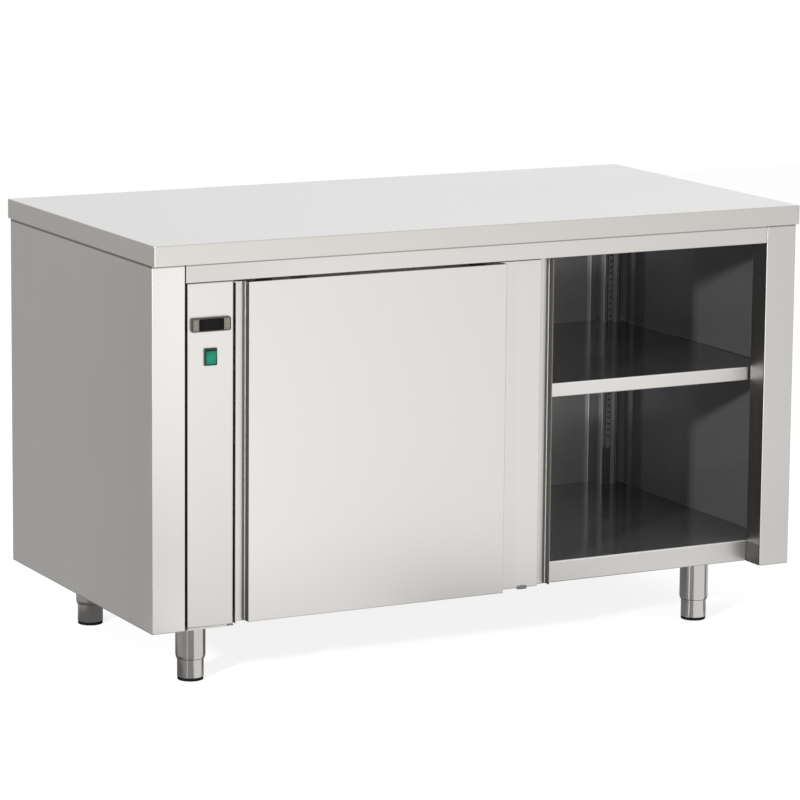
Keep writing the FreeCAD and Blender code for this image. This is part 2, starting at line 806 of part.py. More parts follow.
def add_door(name, side):
    """Double-skinned sliding door; side 1 has its grip at the left, -1 at the right."""
    s = "door_sheet"
    left, right, face, rear = (f"{name}_{edge}" for edge in ("left", "right", "face", "rear"))
    lane = name.replace("door", "lane")
    if side == 1:
        start, end = left, right
    else:
        start, end = f"-({right})", f"-({left})"
    corners = mirrored(door_corners(start, end, face, rear), side)
    skin = new_body(f"{name}_skin")
    pad(skin, "z", corners, "door_bottom", "door_top")
    inner = [f"{start} + 2 * {s} + grip_width", f"{end} - {s}"]
    cap = mirrored(rectangle(inner, (f"{face} + {s}", f"{rear} - {s}")), side)
    pad(skin, "z", cap, "door_bottom", f"door_bottom + {s}")
    pad(skin, "z", cap, f"door_top - {s}", "door_top")
    round_edges(skin, "z", [corners[7], corners[8]], f"{s} + {s} / 2")

    lid = new_body(f"{name}_back")
    lid_corners = [
        (start, rear),
        (start, f"{face} + grip_depth + {s}"),
        (f"{start} + {s}", f"{face} + grip_depth + {s}"),
        (f"{start} + {s}", f"{rear} - {s}"),
        (f"{end} - {s}", f"{rear} - {s}"),
        (f"{end} - {s}", rear),
    ]
    pad(lid, "z", mirrored(lid_corners, side), "door_bottom", "door_top")

    ends = [place_x for place_x, _ in mirrored([(inner[0], "0"), (inner[1], "0")], side)]
    core_z = (f"door_bottom + {s}", f"door_top - {s}")
    keep(block(tuple(ends[::side]), (f"{face} + {s}", f"{rear} - {s}"), core_z), f"{name}_core")

    plates = []
    inner_face = "(hanger_thick / 2 + running_clearance)"
    outer_face = "(hanger_thick / 2 + running_clearance + wheel_width)"
    for end_name, middle in (("left", f"{left} + hanger_inset"), ("right", f"{right} - hanger_inset")):
        x = around(middle, "hanger_width")
        web = block(x, around(lane, "hanger_thick"), ("door_top", "axle_height + 2 * axle_radius"))
        foot = block(x, around(lane, "hanger_foot_width"), ("door_top", "door_top + hanger_foot"))
        y = around(lane, "(hanger_thick + 2 * overrun)")
        bore = rod("y", *y, middle, "axle_height", "axle_radius + running_clearance")
        plates.append(cut(fuse([web, foot]), [bore]))

        rounds = [
            (f"{lane} - {outer_face}", f"{lane} + {outer_face}", "axle_radius"),
            (f"{lane} - {outer_face}", f"{lane} - {inner_face}", "wheel_radius"),
            (f"{lane} + {inner_face}", f"{lane} + {outer_face}", "wheel_radius"),
        ]
        wheels = [rod("y", low, high, middle, "axle_height", radius) for low, high, radius in rounds]
        keep(fuse(wheels), f"{name}_wheels_{end_name}")
    keep(group(plates), f"{name}_hangers")


def add_track():
    """Double hanging track, its end stops and the guides under the doors."""
    x = ("cavity_left + door_sheet", "post_inner - door_sheet")
    rail = block(x, ("track_front", "track_rear"), ("track_bottom", "top"))
    past = (f"{x[0]} - overrun", f"{x[1]} + overrun")
    lanes = ("front_lane", "rear_lane")
    slot_z = ("track_bottom - overrun", "lane_floor + track_wall")
    tools = []
    for lane in lanes:
        tools.append(block(past, around(lane, "lane_width"), ("lane_floor", "lane_top")))
        tools.append(block(past, around(lane, "slot_width"), slot_z))
    box_y = ("track_front + track_wall", "track_rear - track_wall")
    tools.append(block(past, box_y, ("lane_top + track_wall", "top - track_wall")))
    keep(cut(rail, tools), "door_track")

    reach = "door_clearance / 2 + hanger_inset - hanger_width / 2 - stop_gap"
    stops = []
    for lane in lanes:
        y = around(lane, "lane_width")
        stops.append(block((x[0], f"cavity_left + {reach}"), y, ("lane_floor", "lane_top")))
        stops.append(block((f"post_inner - ({reach})", x[1]), y, ("lane_floor", "lane_top")))
    keep(group(stops), "door_stops")

    guides = []
    plate_top = "door_bottom - guide_drop_gap"
    plate_z = (f"{plate_top} - guide_plate", plate_top)
    finger_z = (plate_z[0], "door_bottom + guide_rise")
    centre = "(front_door_rear + rear_door_face) / 2"
    first = "opening_middle - guide_lead"
    for middle in (first, f"{first} + guide_spacing"):
        gx = around(middle, "guide_width")
        base = block(gx, (f"{centre} - guide_finger / 2", "post_rear"), plate_z)
        between = block(gx, around(centre, "guide_finger"), finger_z)
        behind = block(gx, ("post_rear - guide_finger", "post_rear"), finger_z)
        guides.append(fuse([base, between, behind]))
    keep(group(guides), "door_guides")


def slotted_strip():
    """One slotted strip, upright at the origin, its face towards -Y."""
    body = doc.addObject("PartDesign::Body", "Body")
    x, z = around("0", "strip_width"), ("0", "strip_length")
    pad(body, "y", rectangle(x, z), "0", "strip_thick")
    round_edges(body, "y", [(a, b) for a in x for b in z], "strip_width / 3")
    y = ("-overrun", "strip_thick + overrun")
    slots = []
    for index in range(int(number("(strip_length - 3 * slot_pitch) / slot_pitch"))):
        middle = f"({index} + 2) * slot_pitch"
        slots.append(block(around("slot_shift", "slot_wide"), y, around(middle, "slot_high")))
    return cut(body, slots)


def add_racks():
    """Rear uprights, slotted strips and the shelf's clips."""
    t = "outer_sheet"
    plan = [
        ("upright_left - upright_flange", "lining_back"),
        ("upright_left - upright_flange", f"lining_back - {t}"),
        ("upright_left", f"lining_back - {t}"),
        ("upright_left", "upright_front"),
        ("upright_right", "upright_front"),
        ("upright_right", f"upright_front + {t}"),
        (f"upright_left + {t}", f"upright_front + {t}"),
        (f"upright_left + {t}", "lining_back"),
    ]
    other = [(f"cavity_left + lining_right - ({a})", b) for a, b in plan]
    for node, corners in (("right_upright", plan), ("left_upright", other)):
        body = new_body(node)
        pad(body, "z", corners, "deck_top", "ceiling")
        round_edges(body, "z", [corners[3]], f"bend_inside + {t}")

    master = slotted_strip()
    doc.recompute()
    strips = []
    clips = []
    quarter = FreeCAD.Rotation(FreeCAD.Vector(0, 0, 1), 90)
    half_turn = FreeCAD.Rotation(FreeCAD.Vector(0, 0, 1), 180)
    upright_line = "upright_left + strip_inset + strip_width / 2"
    post_line = "(post_inner + lining_right) / 2"
    seats = [
        (upright_line, "upright_front - strip_thick", FreeCAD.Rotation()),
        (post_line, "post_rear + strip_thick", half_turn),
        ("cavity_left + strip_thick", "post_rear + strip_setback", quarter),
        ("cavity_left + strip_thick", "lining_back - strip_setback", quarter),
    ]
    for x, y, turn in seats:
        base = FreeCAD.Vector(number(x), number(y), number("strip_bottom"))
        strip = doc.addObject("Part::Feature", "Strip")
        strip.Shape = master.Shape.copy()
        strip.Placement = FreeCAD.Placement(base, turn)
        strips.append(strip)

        wide, thick, drop, out = (number(f"clip_{size}") for size in ("width", "thick", "drop", "reach"))
        plate = Part.makeBox(wide, thick, drop, FreeCAD.Vector(-wide / 2, -thick, -drop))
        ledge = Part.makeBox(wide, out, thick, FreeCAD.Vector(-wide / 2, -out, -thick))
        clip = doc.addObject("Part::Feature", "Clip")
        clip.Shape = plate.fuse(ledge).removeSplitter()
        clip.Placement = FreeCAD.Placement(FreeCAD.Vector(base.x, base.y, number("shelf_bottom")), turn)
        clips.append(clip)
    keep(group(strips), "rack_strips")
    keep(group(clips), "shelf_clips")


def add_shelf():
    """Loose shelf: sheet with a folded front lip, notched round the posts and uprights."""
    t = "outer_sheet"
    left = "cavity_left + shelf_gap"
    right = "lining_right - shelf_gap"
    lip_right = "post_inner - shelf_gap / 4"
    rear = "lining_back - shelf_gap"
    notch_front = "shelf_front + 2 * shelf_gap"
    notch_rear = "upright_front - strip_thick - shelf_notch_gap"
    notch_right = "upright_left - shelf_notch_gap"
    notch_left = "cavity_left + lining_right - upright_left + shelf_notch_gap"
    plan = [
        (left, "shelf_front"),
        (lip_right, "shelf_front"),
        (lip_right, notch_front),
        (right, notch_front),
        (right, notch_rear),
        (notch_right, notch_rear),
        (notch_right, rear),
        (notch_left, rear),
        (notch_left, notch_rear),
        (left, notch_rear),
    ]
    body = new_body("shelf")
    pad(body, "z", plan, "shelf_bottom", "shelf_top")
    lip = rectangle((left, lip_right), ("shelf_front", f"shelf_front + {t}"))
    pad(body, "z", lip, "shelf_top - shelf_lip", "shelf_bottom")
    foot = rectangle((left, lip_right), ("shelf_front", "shelf_front + shelf_return"))
    pad(body, "z", foot, "shelf_top - shelf_lip", f"shelf_top - shelf_lip + {t}")
    bends = [("shelf_front", "shelf_top"), ("shelf_front", "shelf_top - shelf_lip")]
    round_edges(body, "x", bends, f"bend_inside + {t}")


def add_fan_heater():
    """Heater housing on the partition, with motor, fan wheel and ring element."""
    t = "inner_sheet"
    side = "2 * housing_half"
    room = f"(2 * housing_half - 2 * {t})"
    axis = ("fan_place", "fan_height")
    shell = block(("housing_back", "partition_left"), around(axis[0], side), around(axis[1], side))
    room_x = (f"housing_back + {t}", "partition_left + overrun")
    hollow = block(room_x, around(axis[0], room), around(axis[1], room))
    through = ("housing_back - overrun", "housing_back + overrun")
    holes = [rod("x", *through, *axis, "shaft_radius + bolt_hole_gap")]
    spread = "element_ring * sin(element_opening / 2)"
    drop = "element_ring * cos(element_opening / 2)"
    terminals = [(f"fan_place + {sign} * {spread}", f"fan_height - {drop}") for sign in (-1, 1)]
    for terminal in terminals:
        holes.append(rod("x", *through, *terminal, "element_radius + element_gap"))
    keep(cut(shell, [hollow] + holes), "heater_housing")

    ring_x = "(housing_back + partition_left) / 2"
    ring = doc.addObject("Part::Torus", "Ring")
    ring.setExpression("Radius1", bind("element_ring"))
    ring.setExpression("Radius2", bind("element_radius"))
    ring.setExpression("Angle3", bind("360 - element_opening"))
    opening = FreeCAD.Rotation(FreeCAD.Vector(0, 0, 1), number("element_opening / 2"))
    place(ring, ring_x, *axis, rotation=TURNS["x"] * opening)
    pieces = [ring]
    for terminal in terminals:
        pieces.append(rod("x", "housing_back - housing_depth / 4", ring_x, *terminal, "element_radius"))
    keep(fuse(pieces), "heater_element")

    shaft_end = "housing_back - motor_length / 2"
    motor = rod("x", "housing_back - motor_length", "housing_back", *axis, "motor_radius")
    bore = rod("x", shaft_end, "housing_back + overrun", *axis, "shaft_radius + running_clearance")
    keep(cut(motor, [bore]), "fan_motor")

    disc_x = "housing_back + fan_gap"
    face_x = f"{disc_x} + fan_disc"
    hub_x = (f"housing_back + {t} + running_clearance", f"{face_x} + fan_hub_radius")
    parts = [
        rod("x", disc_x, face_x, *axis, "fan_radius"),
        rod("x", *hub_x, *axis, "fan_hub_radius"),
        rod("x", f"{shaft_end} + overrun", disc_x, *axis, "shaft_radius"),
    ]
    root = "(fan_radius - fan_blade_length)"
    count = int(number("fan_blade_count"))
    for index in range(count):
        angle = 360 * index / count
        blade = doc.addObject("Part::Box", "Blade")
        blade.setExpression("Length", bind("fan_blade_height"))
        blade.setExpression("Width", bind("fan_blade_length"))
        blade.setExpression("Height", bind("fan_blade_thick"))
        turn = FreeCAD.Rotation(FreeCAD.Vector(1, 0, 0), angle)
        corner = (f"fan_place + {root} * cos({angle})", f"fan_height + {root} * sin({angle})")
        parts.append(place(blade, face_x, *corner, rotation=turn))
    keep(fuse(parts), "fan_wheel")


def add_mains_inlet():
    """Terminal block and the gland through the back panel."""
    x = around("gland_x", "terminal_width")
    y = ("back_panel_face - terminal_inset - terminal_depth", "back_panel_face - terminal_inset")
    z = ("pan_top", "pan_top + terminal_height")
    centre_y = f"{y[1]} - terminal_depth / 2"
    well_z = (f"{z[1]} - terminal_height / 2", f"{z[1]} + overrun")
    wells = []
    for step in (-1, 0, 1):
        middle = f"gland_x + {step} * terminal_width / 4"
        wells.append(rod("z", *well_z, middle, centre_y, "terminal_depth / 6"))
    keep(cut(block(x, y, z), wells), "terminal_block")

    outside = "back - outer_sheet"
    line = ("gland_x", "gland_z")
    reach = "gland_nut_thick + gland_proud"
    barrel = rod("y", f"back_panel_face - ({reach})", f"{outside} + {reach}", *line, "gland_radius")
    nuts = []
    for low in ("back_panel_face - gland_nut_thick", outside):
        nut = doc.addObject("Part::Prism", "Nut")
        nut.Polygon = 6
        nut.setExpression("Circumradius", bind("gland_nut"))
        nut.setExpression("Height", bind("gland_nut_thick"))
        nuts.append(place(nut, line[0], low, line[1], rotation=TURNS["y"]))
    past = f"({reach} + overrun)"
    bore = rod("y", f"back_panel_face - {past}", f"{outside} + {past}", *line, "gland_bore")
    keep(cut(fuse([barrel] + nuts), [bore]), "cable_gland")


def check_and_write():
    """Test every object and shape, then write one file per node."""
    doc.recompute()
    broken = [obj for obj in doc.Objects if "Invalid" in obj.State or "Error" in obj.State]
    if broken:
        raise RuntimeError("\n".join(f"{obj.Label}: {obj.State}" for obj in broken))
    os.makedirs("parts", exist_ok=True)
    for node, obj in nodes.items():
        shape = obj.Shape
        if shape.isNull() or not shape.isValid() or not shape.Solids:
            raise RuntimeError(f"{node}: no valid solid")
        shape.exportStep(f"parts/{node}.step")
        print(f"{node}: {len(shape.Solids)} solid(s), {shape.Volume / 1000:.1f} cm3")
    print(f"{len(nodes)} nodes written")


fill_sheets()
add_worktop()
add_side_panels()
add_back_panel()
add_header()
add_linings()
add_partition()
add_floor()
add_legs()
add_control_panel()
add_thermostat()
add_switch()
add_door("front_door", 1)
add_door("rear_door", -1)
add_track()
add_racks()
add_shelf()
add_fan_heater()
add_mains_inlet()
check_and_write()
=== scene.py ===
import logging
import math
from dataclasses import dataclass
from enum import Enum
from typing import Any, Iterable, Union

import bpy
from mathutils import Matrix, Vector


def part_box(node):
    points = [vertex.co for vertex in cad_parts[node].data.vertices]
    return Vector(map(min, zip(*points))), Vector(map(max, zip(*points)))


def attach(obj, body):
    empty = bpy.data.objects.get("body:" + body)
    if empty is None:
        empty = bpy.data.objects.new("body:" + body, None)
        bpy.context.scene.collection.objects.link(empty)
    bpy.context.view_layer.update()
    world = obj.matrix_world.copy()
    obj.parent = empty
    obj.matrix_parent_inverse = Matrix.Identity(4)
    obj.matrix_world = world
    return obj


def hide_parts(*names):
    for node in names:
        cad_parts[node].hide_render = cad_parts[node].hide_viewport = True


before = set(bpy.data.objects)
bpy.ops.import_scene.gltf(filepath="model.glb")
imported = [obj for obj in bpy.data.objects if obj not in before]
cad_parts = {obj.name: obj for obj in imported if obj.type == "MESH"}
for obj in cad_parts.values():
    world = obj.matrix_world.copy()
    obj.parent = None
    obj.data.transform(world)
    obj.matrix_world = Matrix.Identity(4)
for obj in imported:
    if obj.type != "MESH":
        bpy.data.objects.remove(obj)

log = logging.getLogger("plate_warmer")

Number = Union[int, float]
Point = tuple[float, float, float]
Colour = tuple[float, float, float, float]


class Grain(Enum):
    """Direction in which a sheet was brushed or rolled."""

    ALONG_X = (1.0, 0.0, 0.0)
    ALONG_Z = (0.0, 0.0, 1.0)


class Value:
    """A shader socket that takes part in Python arithmetic."""

    def __init__(self, graph: "Graph", socket: bpy.types.NodeSocket) -> None:
        """Wraps one output socket of a graph's node.

        Args:
            graph: The graph that the socket belongs to.
            socket: The output socket.
        """
        self.graph = graph
        self.socket = socket

    def _maths(self, operation: str, *operands: Any) -> "Value":
        """Adds one Math node.

        Args:
            operation: Name of the Math node's operation.
            operands: Values or numbers, in the node's order.

        Returns:
            The node's result.
        """
        inputs = dict(enumerate(operands))
        return self.graph.node("ShaderNodeMath", {"operation": operation}, inputs)

    def __add__(self, other: Any) -> "Value":
        """Sum."""
        return self._maths("ADD", self, other)

    __radd__ = __add__

    def __sub__(self, other: Any) -> "Value":
        """Difference."""
        return self._maths("SUBTRACT", self, other)

    def __rsub__(self, other: Any) -> "Value":
        """Difference with a number on the left."""
        return self._maths("SUBTRACT", other, self)

    def __mul__(self, other: Any) -> "Value":
        """Product."""
        return self._maths("MULTIPLY", self, other)

    __rmul__ = __mul__

    def __truediv__(self, other: Any) -> "Value":
        """Quotient."""
        return self._maths("DIVIDE", self, other)

    def __pow__(self, other: Any) -> "Value":
        """Power."""
        return self._maths("POWER", self, other)

    def __abs__(self) -> "Value":
        """Size without its sign."""
        return self._maths("ABSOLUTE", self)

    def at_most(self, other: Any) -> "Value":
        """The lesser of the two."""
        return self._maths("MINIMUM", self, other)

    def at_least(self, other: Any) -> "Value":
        """The greater of the two."""
        return self._maths("MAXIMUM", self, other)

    def ramp(self, low: Number, high: Number, start: Number = 0.0, end: Number = 1.0) -> "Value":
        """Maps a span smoothly to another, and holds the ends.

        Args:
            low: Input at which the result is start.
            high: Input at which the result is end.
            start: Result at low.
            end: Result at high.

        Returns:
            The mapped value.
        """
        inputs = {0: self, 1: low, 2: high, 3: start, 4: end}
        return self.graph.node("ShaderNodeMapRange", {"interpolation_type": "SMOOTHSTEP"}, inputs)


class Graph:
    """Node tree of one material or world, built by a few calls."""

    def __init__(self, tree: bpy.types.NodeTree) -> None:
        """Empties the tree.

        Args:
            tree: The node tree to build in.
        """
        self.tree = tree
        tree.nodes.clear()

    def node(self, kind: str, settings: dict[str, Any], inputs: dict[Any, Any], output: Any = 0) -> Value:
        """Adds a node of any type.

        Args:
            kind: The node's type name.
            settings: Attributes set first; "stops" holds a ramp's places and colours.
            inputs: Values or links by input name or index.
            output: Name or index of the output that is returned.

        Returns:
            The chosen output.
        """
        node = self.tree.nodes.new(kind)
        for name, value in settings.items():
            if name == "stops":
                self._set_stops(node.color_ramp, value)
            else:
                setattr(node, name, value)
        for key, value in inputs.items():
            if isinstance(value, Value):
                self.tree.links.new(value.socket, node.inputs[key])
            else:
                node.inputs[key].default_value = value
        return Value(self, node.outputs[output]) if len(node.outputs) else Value(self, None)

    @staticmethod
    def _set_stops(ramp: bpy.types.ColorRamp, stops: Iterable[tuple[float, Colour]]) -> None:
        """Gives a colour ramp its stops.

        Args:
            ramp: The ramp, which has two stops to start with.
            stops: Places and colours, two or more.
        """
        for index, (place, colour) in enumerate(stops):
            element = ramp.elements[index] if index < 2 else ramp.elements.new(place)
            element.position = place
            element.color = colour

    def object_point(self, scale: Point = (1.0, 1.0, 1.0)) -> Value:
        """Object coordinates, scaled along each axis.

        Args:
            scale: Factors along X, Y and Z.

        Returns:
            The vector.
        """
        point = self.node("ShaderNodeTexCoord", {}, {}, "Object")
        return self.node("ShaderNodeMapping", {}, {"Vector": point, "Scale": scale})

    def axes(self, kind: str = "Object") -> tuple[Value, Value, Value]:
        """X, Y and Z of a place, or of a direction.

        Args:
            kind: Kind of coordinates: "Object" for a place, "Generated" for a direction of the world.

        Returns:
            The three values.
        """
        point = self.node("ShaderNodeTexCoord", {}, {}, kind)
        split = self.node("ShaderNodeSeparateXYZ", {}, {0: point})
        return tuple(Value(self, output) for output in split.socket.node.outputs)

    def noise(self, scale: Point, detail: Number = 2.0, rough: Number = 0.5) -> Value:
        """Noise stretched by a scale along each axis, from 0 to 1.

        Args:
            scale: Waves per metre along X, Y and Z.
            detail: Octaves.
            rough: Share kept from one octave to the next.

        Returns:
            The noise.
        """
        inputs = {"Vector": self.object_point(scale), "Scale": 1.0, "Detail": detail, "Roughness": rough}
        return self.node("ShaderNodeTexNoise", {}, inputs, 0)

    def mix(self, share: Any, first: Any, second: Any) -> Value:
        """Blends two colours.

        Args:
            share: 0 for the first, 1 for the second.
            first: Colour or link.
            second: Colour or link.

        Returns:
            The colour.
        """
        return self.node("ShaderNodeMix", {"data_type": "RGBA"}, {0: share, 6: first, 7: second}, 2)

    def bump(self, height: Value, distance: Number) -> Value:
        """Normal of a surface with a height on it.

        Args:
            height: Height from 0 to 1.
            distance: Metres that a height of 1 stands for.

        Returns:
            The normal.
        """
        return self.node("ShaderNodeBump", {}, {"Height": height, "Distance": distance})

    def surface(self, inputs: dict[str, Any]) -> None:
        """Ends the graph in a Principled shader.

        Args:
            inputs: The shader's inputs.
        """
        shader = self.node("ShaderNodeBsdfPrincipled", {}, inputs)
        self.node("ShaderNodeOutputMaterial", {}, {"Surface": shader})


def new_graph(name: str) -> tuple[bpy.types.Material, Graph]:
    """Makes an empty material.

    Args:
        name: The material's name.

    Returns:
        The material and its graph.
    """
    material = bpy.data.materials.new(name)
    material.use_nodes = True
    return material, Graph(material.node_tree)


def grey(level: Number, warm: Number = 0.0) -> Colour:
    """A grey, a little warmer where asked.

    Args:
        level: Brightness.
        warm: How much red gains and blue loses.

    Returns:
        The colour.
    """
    return (level * (1 + warm), level, level * (1 - warm), 1.0)


def about(middle: float, reach: float) -> tuple[float, float]:
    """The span that reaches equally far on both sides of a place."""
    return (middle - reach, middle + reach)


@dataclass(frozen=True)
class Patch:
    """Part of a sheet painted darker or paler than the rest, mostly as painted shade and painted light: shade
    on a folded wall or between parts, a highlight on a bend.

    Its shade is a share of black below zero and of white above. Where it has a foot_shade, it grows from
    that at the height called foot to shade at the height called head.
    """

    spans: dict[str, tuple[float, float]]
    shade: float
    foot_shade: float | None = None
    soft: float = 0.0004
    foot: float = 0.13
    head: float = 0.82
    tone: Colour | None = None

    def over(self, graph: Graph, colour: Value) -> Value:
        """Lays the patch over a sheet's colour.

        Args:
            graph: The sheet's graph.
            colour: The sheet's colour.

        Returns:
            The colour, towards the patch's own tone, or else black below zero and white above.
        """
        places = dict(zip("xyz", graph.axes()))
        cover: Any = abs(self.shade)
        if self.foot_shade is not None:
            cover = places["z"].ramp(self.foot, self.head, abs(self.foot_shade), abs(self.shade))
        for axis, (low, high) in self.spans.items():
            half = (high - low) / 2
            reach = abs(places[axis] - (low + half)).ramp(half - self.soft, half + self.soft, 1.0, 0.0)
            cover = reach * cover
        pale = self.shade > 0 or (self.foot_shade or 0) > 0
        return graph.mix(cover, colour, self.tone or grey(1.0 if pale else 0.0))


class Finish:
    """A finish, which paints the graph of the material that carries its name."""

    name: str

    def paint(self, graph: Graph) -> None:
        """Lays the finish into a graph.

        Args:
            graph: The empty graph.
        """
        raise NotImplementedError

    def material(self) -> bpy.types.Material:
        """Makes the material.

        Returns:
            The material.
        """
        material, graph = new_graph(self.name)
        self.paint(graph)
        return material


@dataclass(frozen=True)
class BrushedSteel(Finish):
    """Stainless sheet with the fine grain of a brushed finish and faint handling marks."""

    name: str
    grain: Grain
    level: float = 0.72
    warm: float = 0.030
    roughness: float = 0.34
    streak: float = 0.05
    marks: float = 0.03
    grain_height: float = 0.000012
    metallic: float = 1.0
    patches: tuple[Patch, ...] = ()

    def scale(self, along: Number, across: Number) -> Point:
        """Waves per metre along each axis for a pattern that runs with the grain."""
        return tuple(along if share else across for share in self.grain.value)

    def paint(self, graph: Graph) -> None:
        """Lays the finish into a graph.

        Args:
            graph: The empty graph.
        """
        fine = graph.noise(self.scale(9, 1900), detail=3, rough=0.6)
        broad = graph.noise(self.scale(0.7, 46), detail=3, rough=0.55)
        smudge = graph.noise((3, 3, 3), detail=4, rough=0.6)
        tone = (fine - 0.5) * self.streak + (broad - 0.5) * (self.streak * 0.8) + (smudge - 0.5) * self.marks
        dark, pale = (grey(self.level * share, self.warm) for share in (0.93, 1.07))
        colour = graph.mix(tone * 4 + 0.5, dark, pale)
        for patch in self.patches:
            colour = patch.over(graph, colour)
        rough = (fine - 0.5) * 0.10 + (broad - 0.5) * 0.06 + smudge.ramp(0.45, 0.75, 0.0, 0.03)
        graph.surface({
            "Base Color": colour,
            "Metallic": self.metallic,
            "Roughness": rough + self.roughness,
            "Normal": graph.bump(fine * 0.8 + broad * 0.2, self.grain_height),
        })


@dataclass(frozen=True)
class BrightSteel(Finish):
    """Bright annealed sheet: a mirror with slow waves of rolling and a thin haze, its base colour kept dark
    as painted shade of the heated space.

    A lip_face or dull_from of 1 lies behind the cabinet, and the sheet then has no lip or no dull part.
    """

    name: str
    grain: Grain
    # The low level is painted shade of the heated space.
    level: float = 0.30
    roughness: float = 0.10
    metallic: float = 0.72
    lip_face: float = 1.0
    lip_level: float = 0.74
    lip_roughness: float = 0.38
    lip_fade: tuple[float, float] = (0.0008, 0.0018)
    dull_from: float = 1.0
    dull_soft: float = 0.06
    dull_share: float = 0.5
    wave_height: float = 0.0002
    patches: tuple[Patch, ...] = ()

    def paint(self, graph: Graph) -> None:
        """Lays the finish into a graph.

        Args:
            graph: The empty graph.
        """
        rolled = graph.noise(tuple(0.8 if share else 5 for share in self.grain.value), detail=1)
        hair = graph.noise(tuple(6 if share else 900 for share in self.grain.value), detail=2)
        dust = graph.noise((9, 9, 9), detail=4, rough=0.65)
        _, y, _ = graph.axes()
        fade = (self.lip_face + reach for reach in self.lip_fade)
        lip = y.ramp(*fade, 1.0, 0.0) if self.lip_face < 1 else y * 0
        rough = (hair - 0.5) * 0.06 + dust.ramp(0.4, 0.75, 0.0, 0.06) + self.roughness
        rough = rough + lip * (self.lip_roughness - self.roughness)
        dull = y.ramp(*about(self.dull_from, self.dull_soft), 0.0, self.dull_share)
        colour = graph.mix(dust.ramp(0.3, 0.8), grey(self.level, 0.0), grey(self.level * 0.9, 0.01))
        colour = graph.mix(lip, colour, grey(self.lip_level, 0.030))
        for patch in self.patches:
            colour = patch.over(graph, colour)
        graph.surface({
            "Base Color": colour,
            "Metallic": lip * (1 - self.metallic) + self.metallic - dull,
            "Roughness": rough,
            "Specular IOR Level": 0.2,
            "Normal": graph.bump(rolled * 0.9 + hair * 0.02, self.wave_height),
        })


@dataclass(frozen=True)
class DrawnTube(Finish):
    """Satin steel tube, drawn and then turned against a belt."""

    name: str
    level: float = 0.60
    roughness: float = 0.13
    ring_height: float = 0.000005
    patches: tuple[Patch, ...] = ()

    def paint(self, graph: Graph) -> None:
        """Lays the finish into a graph.

        Args:
            graph: The empty graph.
        """
        rings = graph.noise((60, 60, 1500), detail=2)
        drawn = graph.noise((420, 420, 4), detail=2)
        rough = (rings - 0.5) * 0.06 + (drawn - 0.5) * 0.04 + self.roughness
        colour = graph.mix(drawn, grey(self.level * 0.94, 0.03), grey(self.level * 1.05, 0.03))
        for patch in self.patches:
            colour = patch.over(graph, colour)
        graph.surface({
            "Base Color": colour,
            "Metallic": 1.0,
            "Roughness": rough,
            "Normal": graph.bump(rings * 0.5 + drawn * 0.5, self.ring_height),
        })


@dataclass(frozen=True)
class MouldedPlastic(Finish):
    """Plastic with the fine texture of its mould."""

    name: str
    colour: Colour
    roughness: float = 0.45
    grain_size: float = 900.0
    depth: float = 0.00002
    specular: float = 0.5

    def paint(self, graph: Graph) -> None:
        """Lays the finish into a graph.

        Args:
            graph: The empty graph.
        """
        grain = graph.noise((self.grain_size,) * 3, detail=2)
        cloud = graph.noise((35, 35, 35), detail=3)
        darker = tuple(channel * 0.86 for channel in self.colour[:3]) + (1.0,)
        graph.surface({
            "Base Color": graph.mix(cloud, darker, self.colour),
            "Roughness": (grain - 0.5) * 0.14 + (cloud - 0.5) * 0.08 + self.roughness,
            "Specular IOR Level": self.specular,
            "Normal": graph.bump(grain, self.depth),
        })


@dataclass(frozen=True)
class BezelPlastic(Finish):
    """Thermostat front: olive key fields inside a darker moulded rim."""

    name: str
    low: Point
    high: Point
    field: Colour = (0.160, 0.153, 0.132, 1.0)
    rim: Colour = (0.038, 0.037, 0.033, 1.0)
    rim_fade: tuple[float, float] = (-0.0028, -0.0012)
    face_fade: tuple[float, float] = (0.0004, 0.0012)
    grain_height: float = 0.000015

    def paint(self, graph: Graph) -> None:
        """Lays the finish into a graph.

        Args:
            graph: The empty graph.
        """
        x, y, z = graph.axes()
        middle = [(a + b) / 2 for a, b in zip(self.low, self.high)]
        half = [(b - a) / 2 for a, b in zip(self.low, self.high)]
        reach_x, reach_z = (
            (abs(place - middle[axis]) - half[axis]).ramp(*self.rim_fade, 1.0, 0.0)
            for place, axis in ((x, 0), (z, 2)))
        face = (y - self.low[1]).ramp(*self.face_fade, 1.0, 0.0)
        grain = graph.noise((1100, 1100, 1100), detail=2)
        graph.surface({
            "Base Color": graph.mix(reach_x * reach_z * face, self.rim, self.field),
            "Roughness": (grain - 0.5) * 0.15 + 0.42,
            "Specular IOR Level": 0.2,
            "Normal": graph.bump(grain, self.grain_height),
        })


@dataclass(frozen=True)
class SmokedWindow(Finish):
    """Polished dark polycarbonate over the display."""

    name: str = "smoked_window"

    def paint(self, graph: Graph) -> None:
        """Lays the finish into a graph.

        Args:
            graph: The empty graph.
        """
        haze = graph.noise((60, 60, 60), detail=3)
        graph.surface({
            "Base Color": graph.mix(haze, (0.002, 0.002, 0.003, 1), (0.006, 0.005, 0.005, 1)),
            "Roughness": haze.ramp(0.35, 0.75, 0.10, 0.22),
            "Specular IOR Level": 0.08,
        })


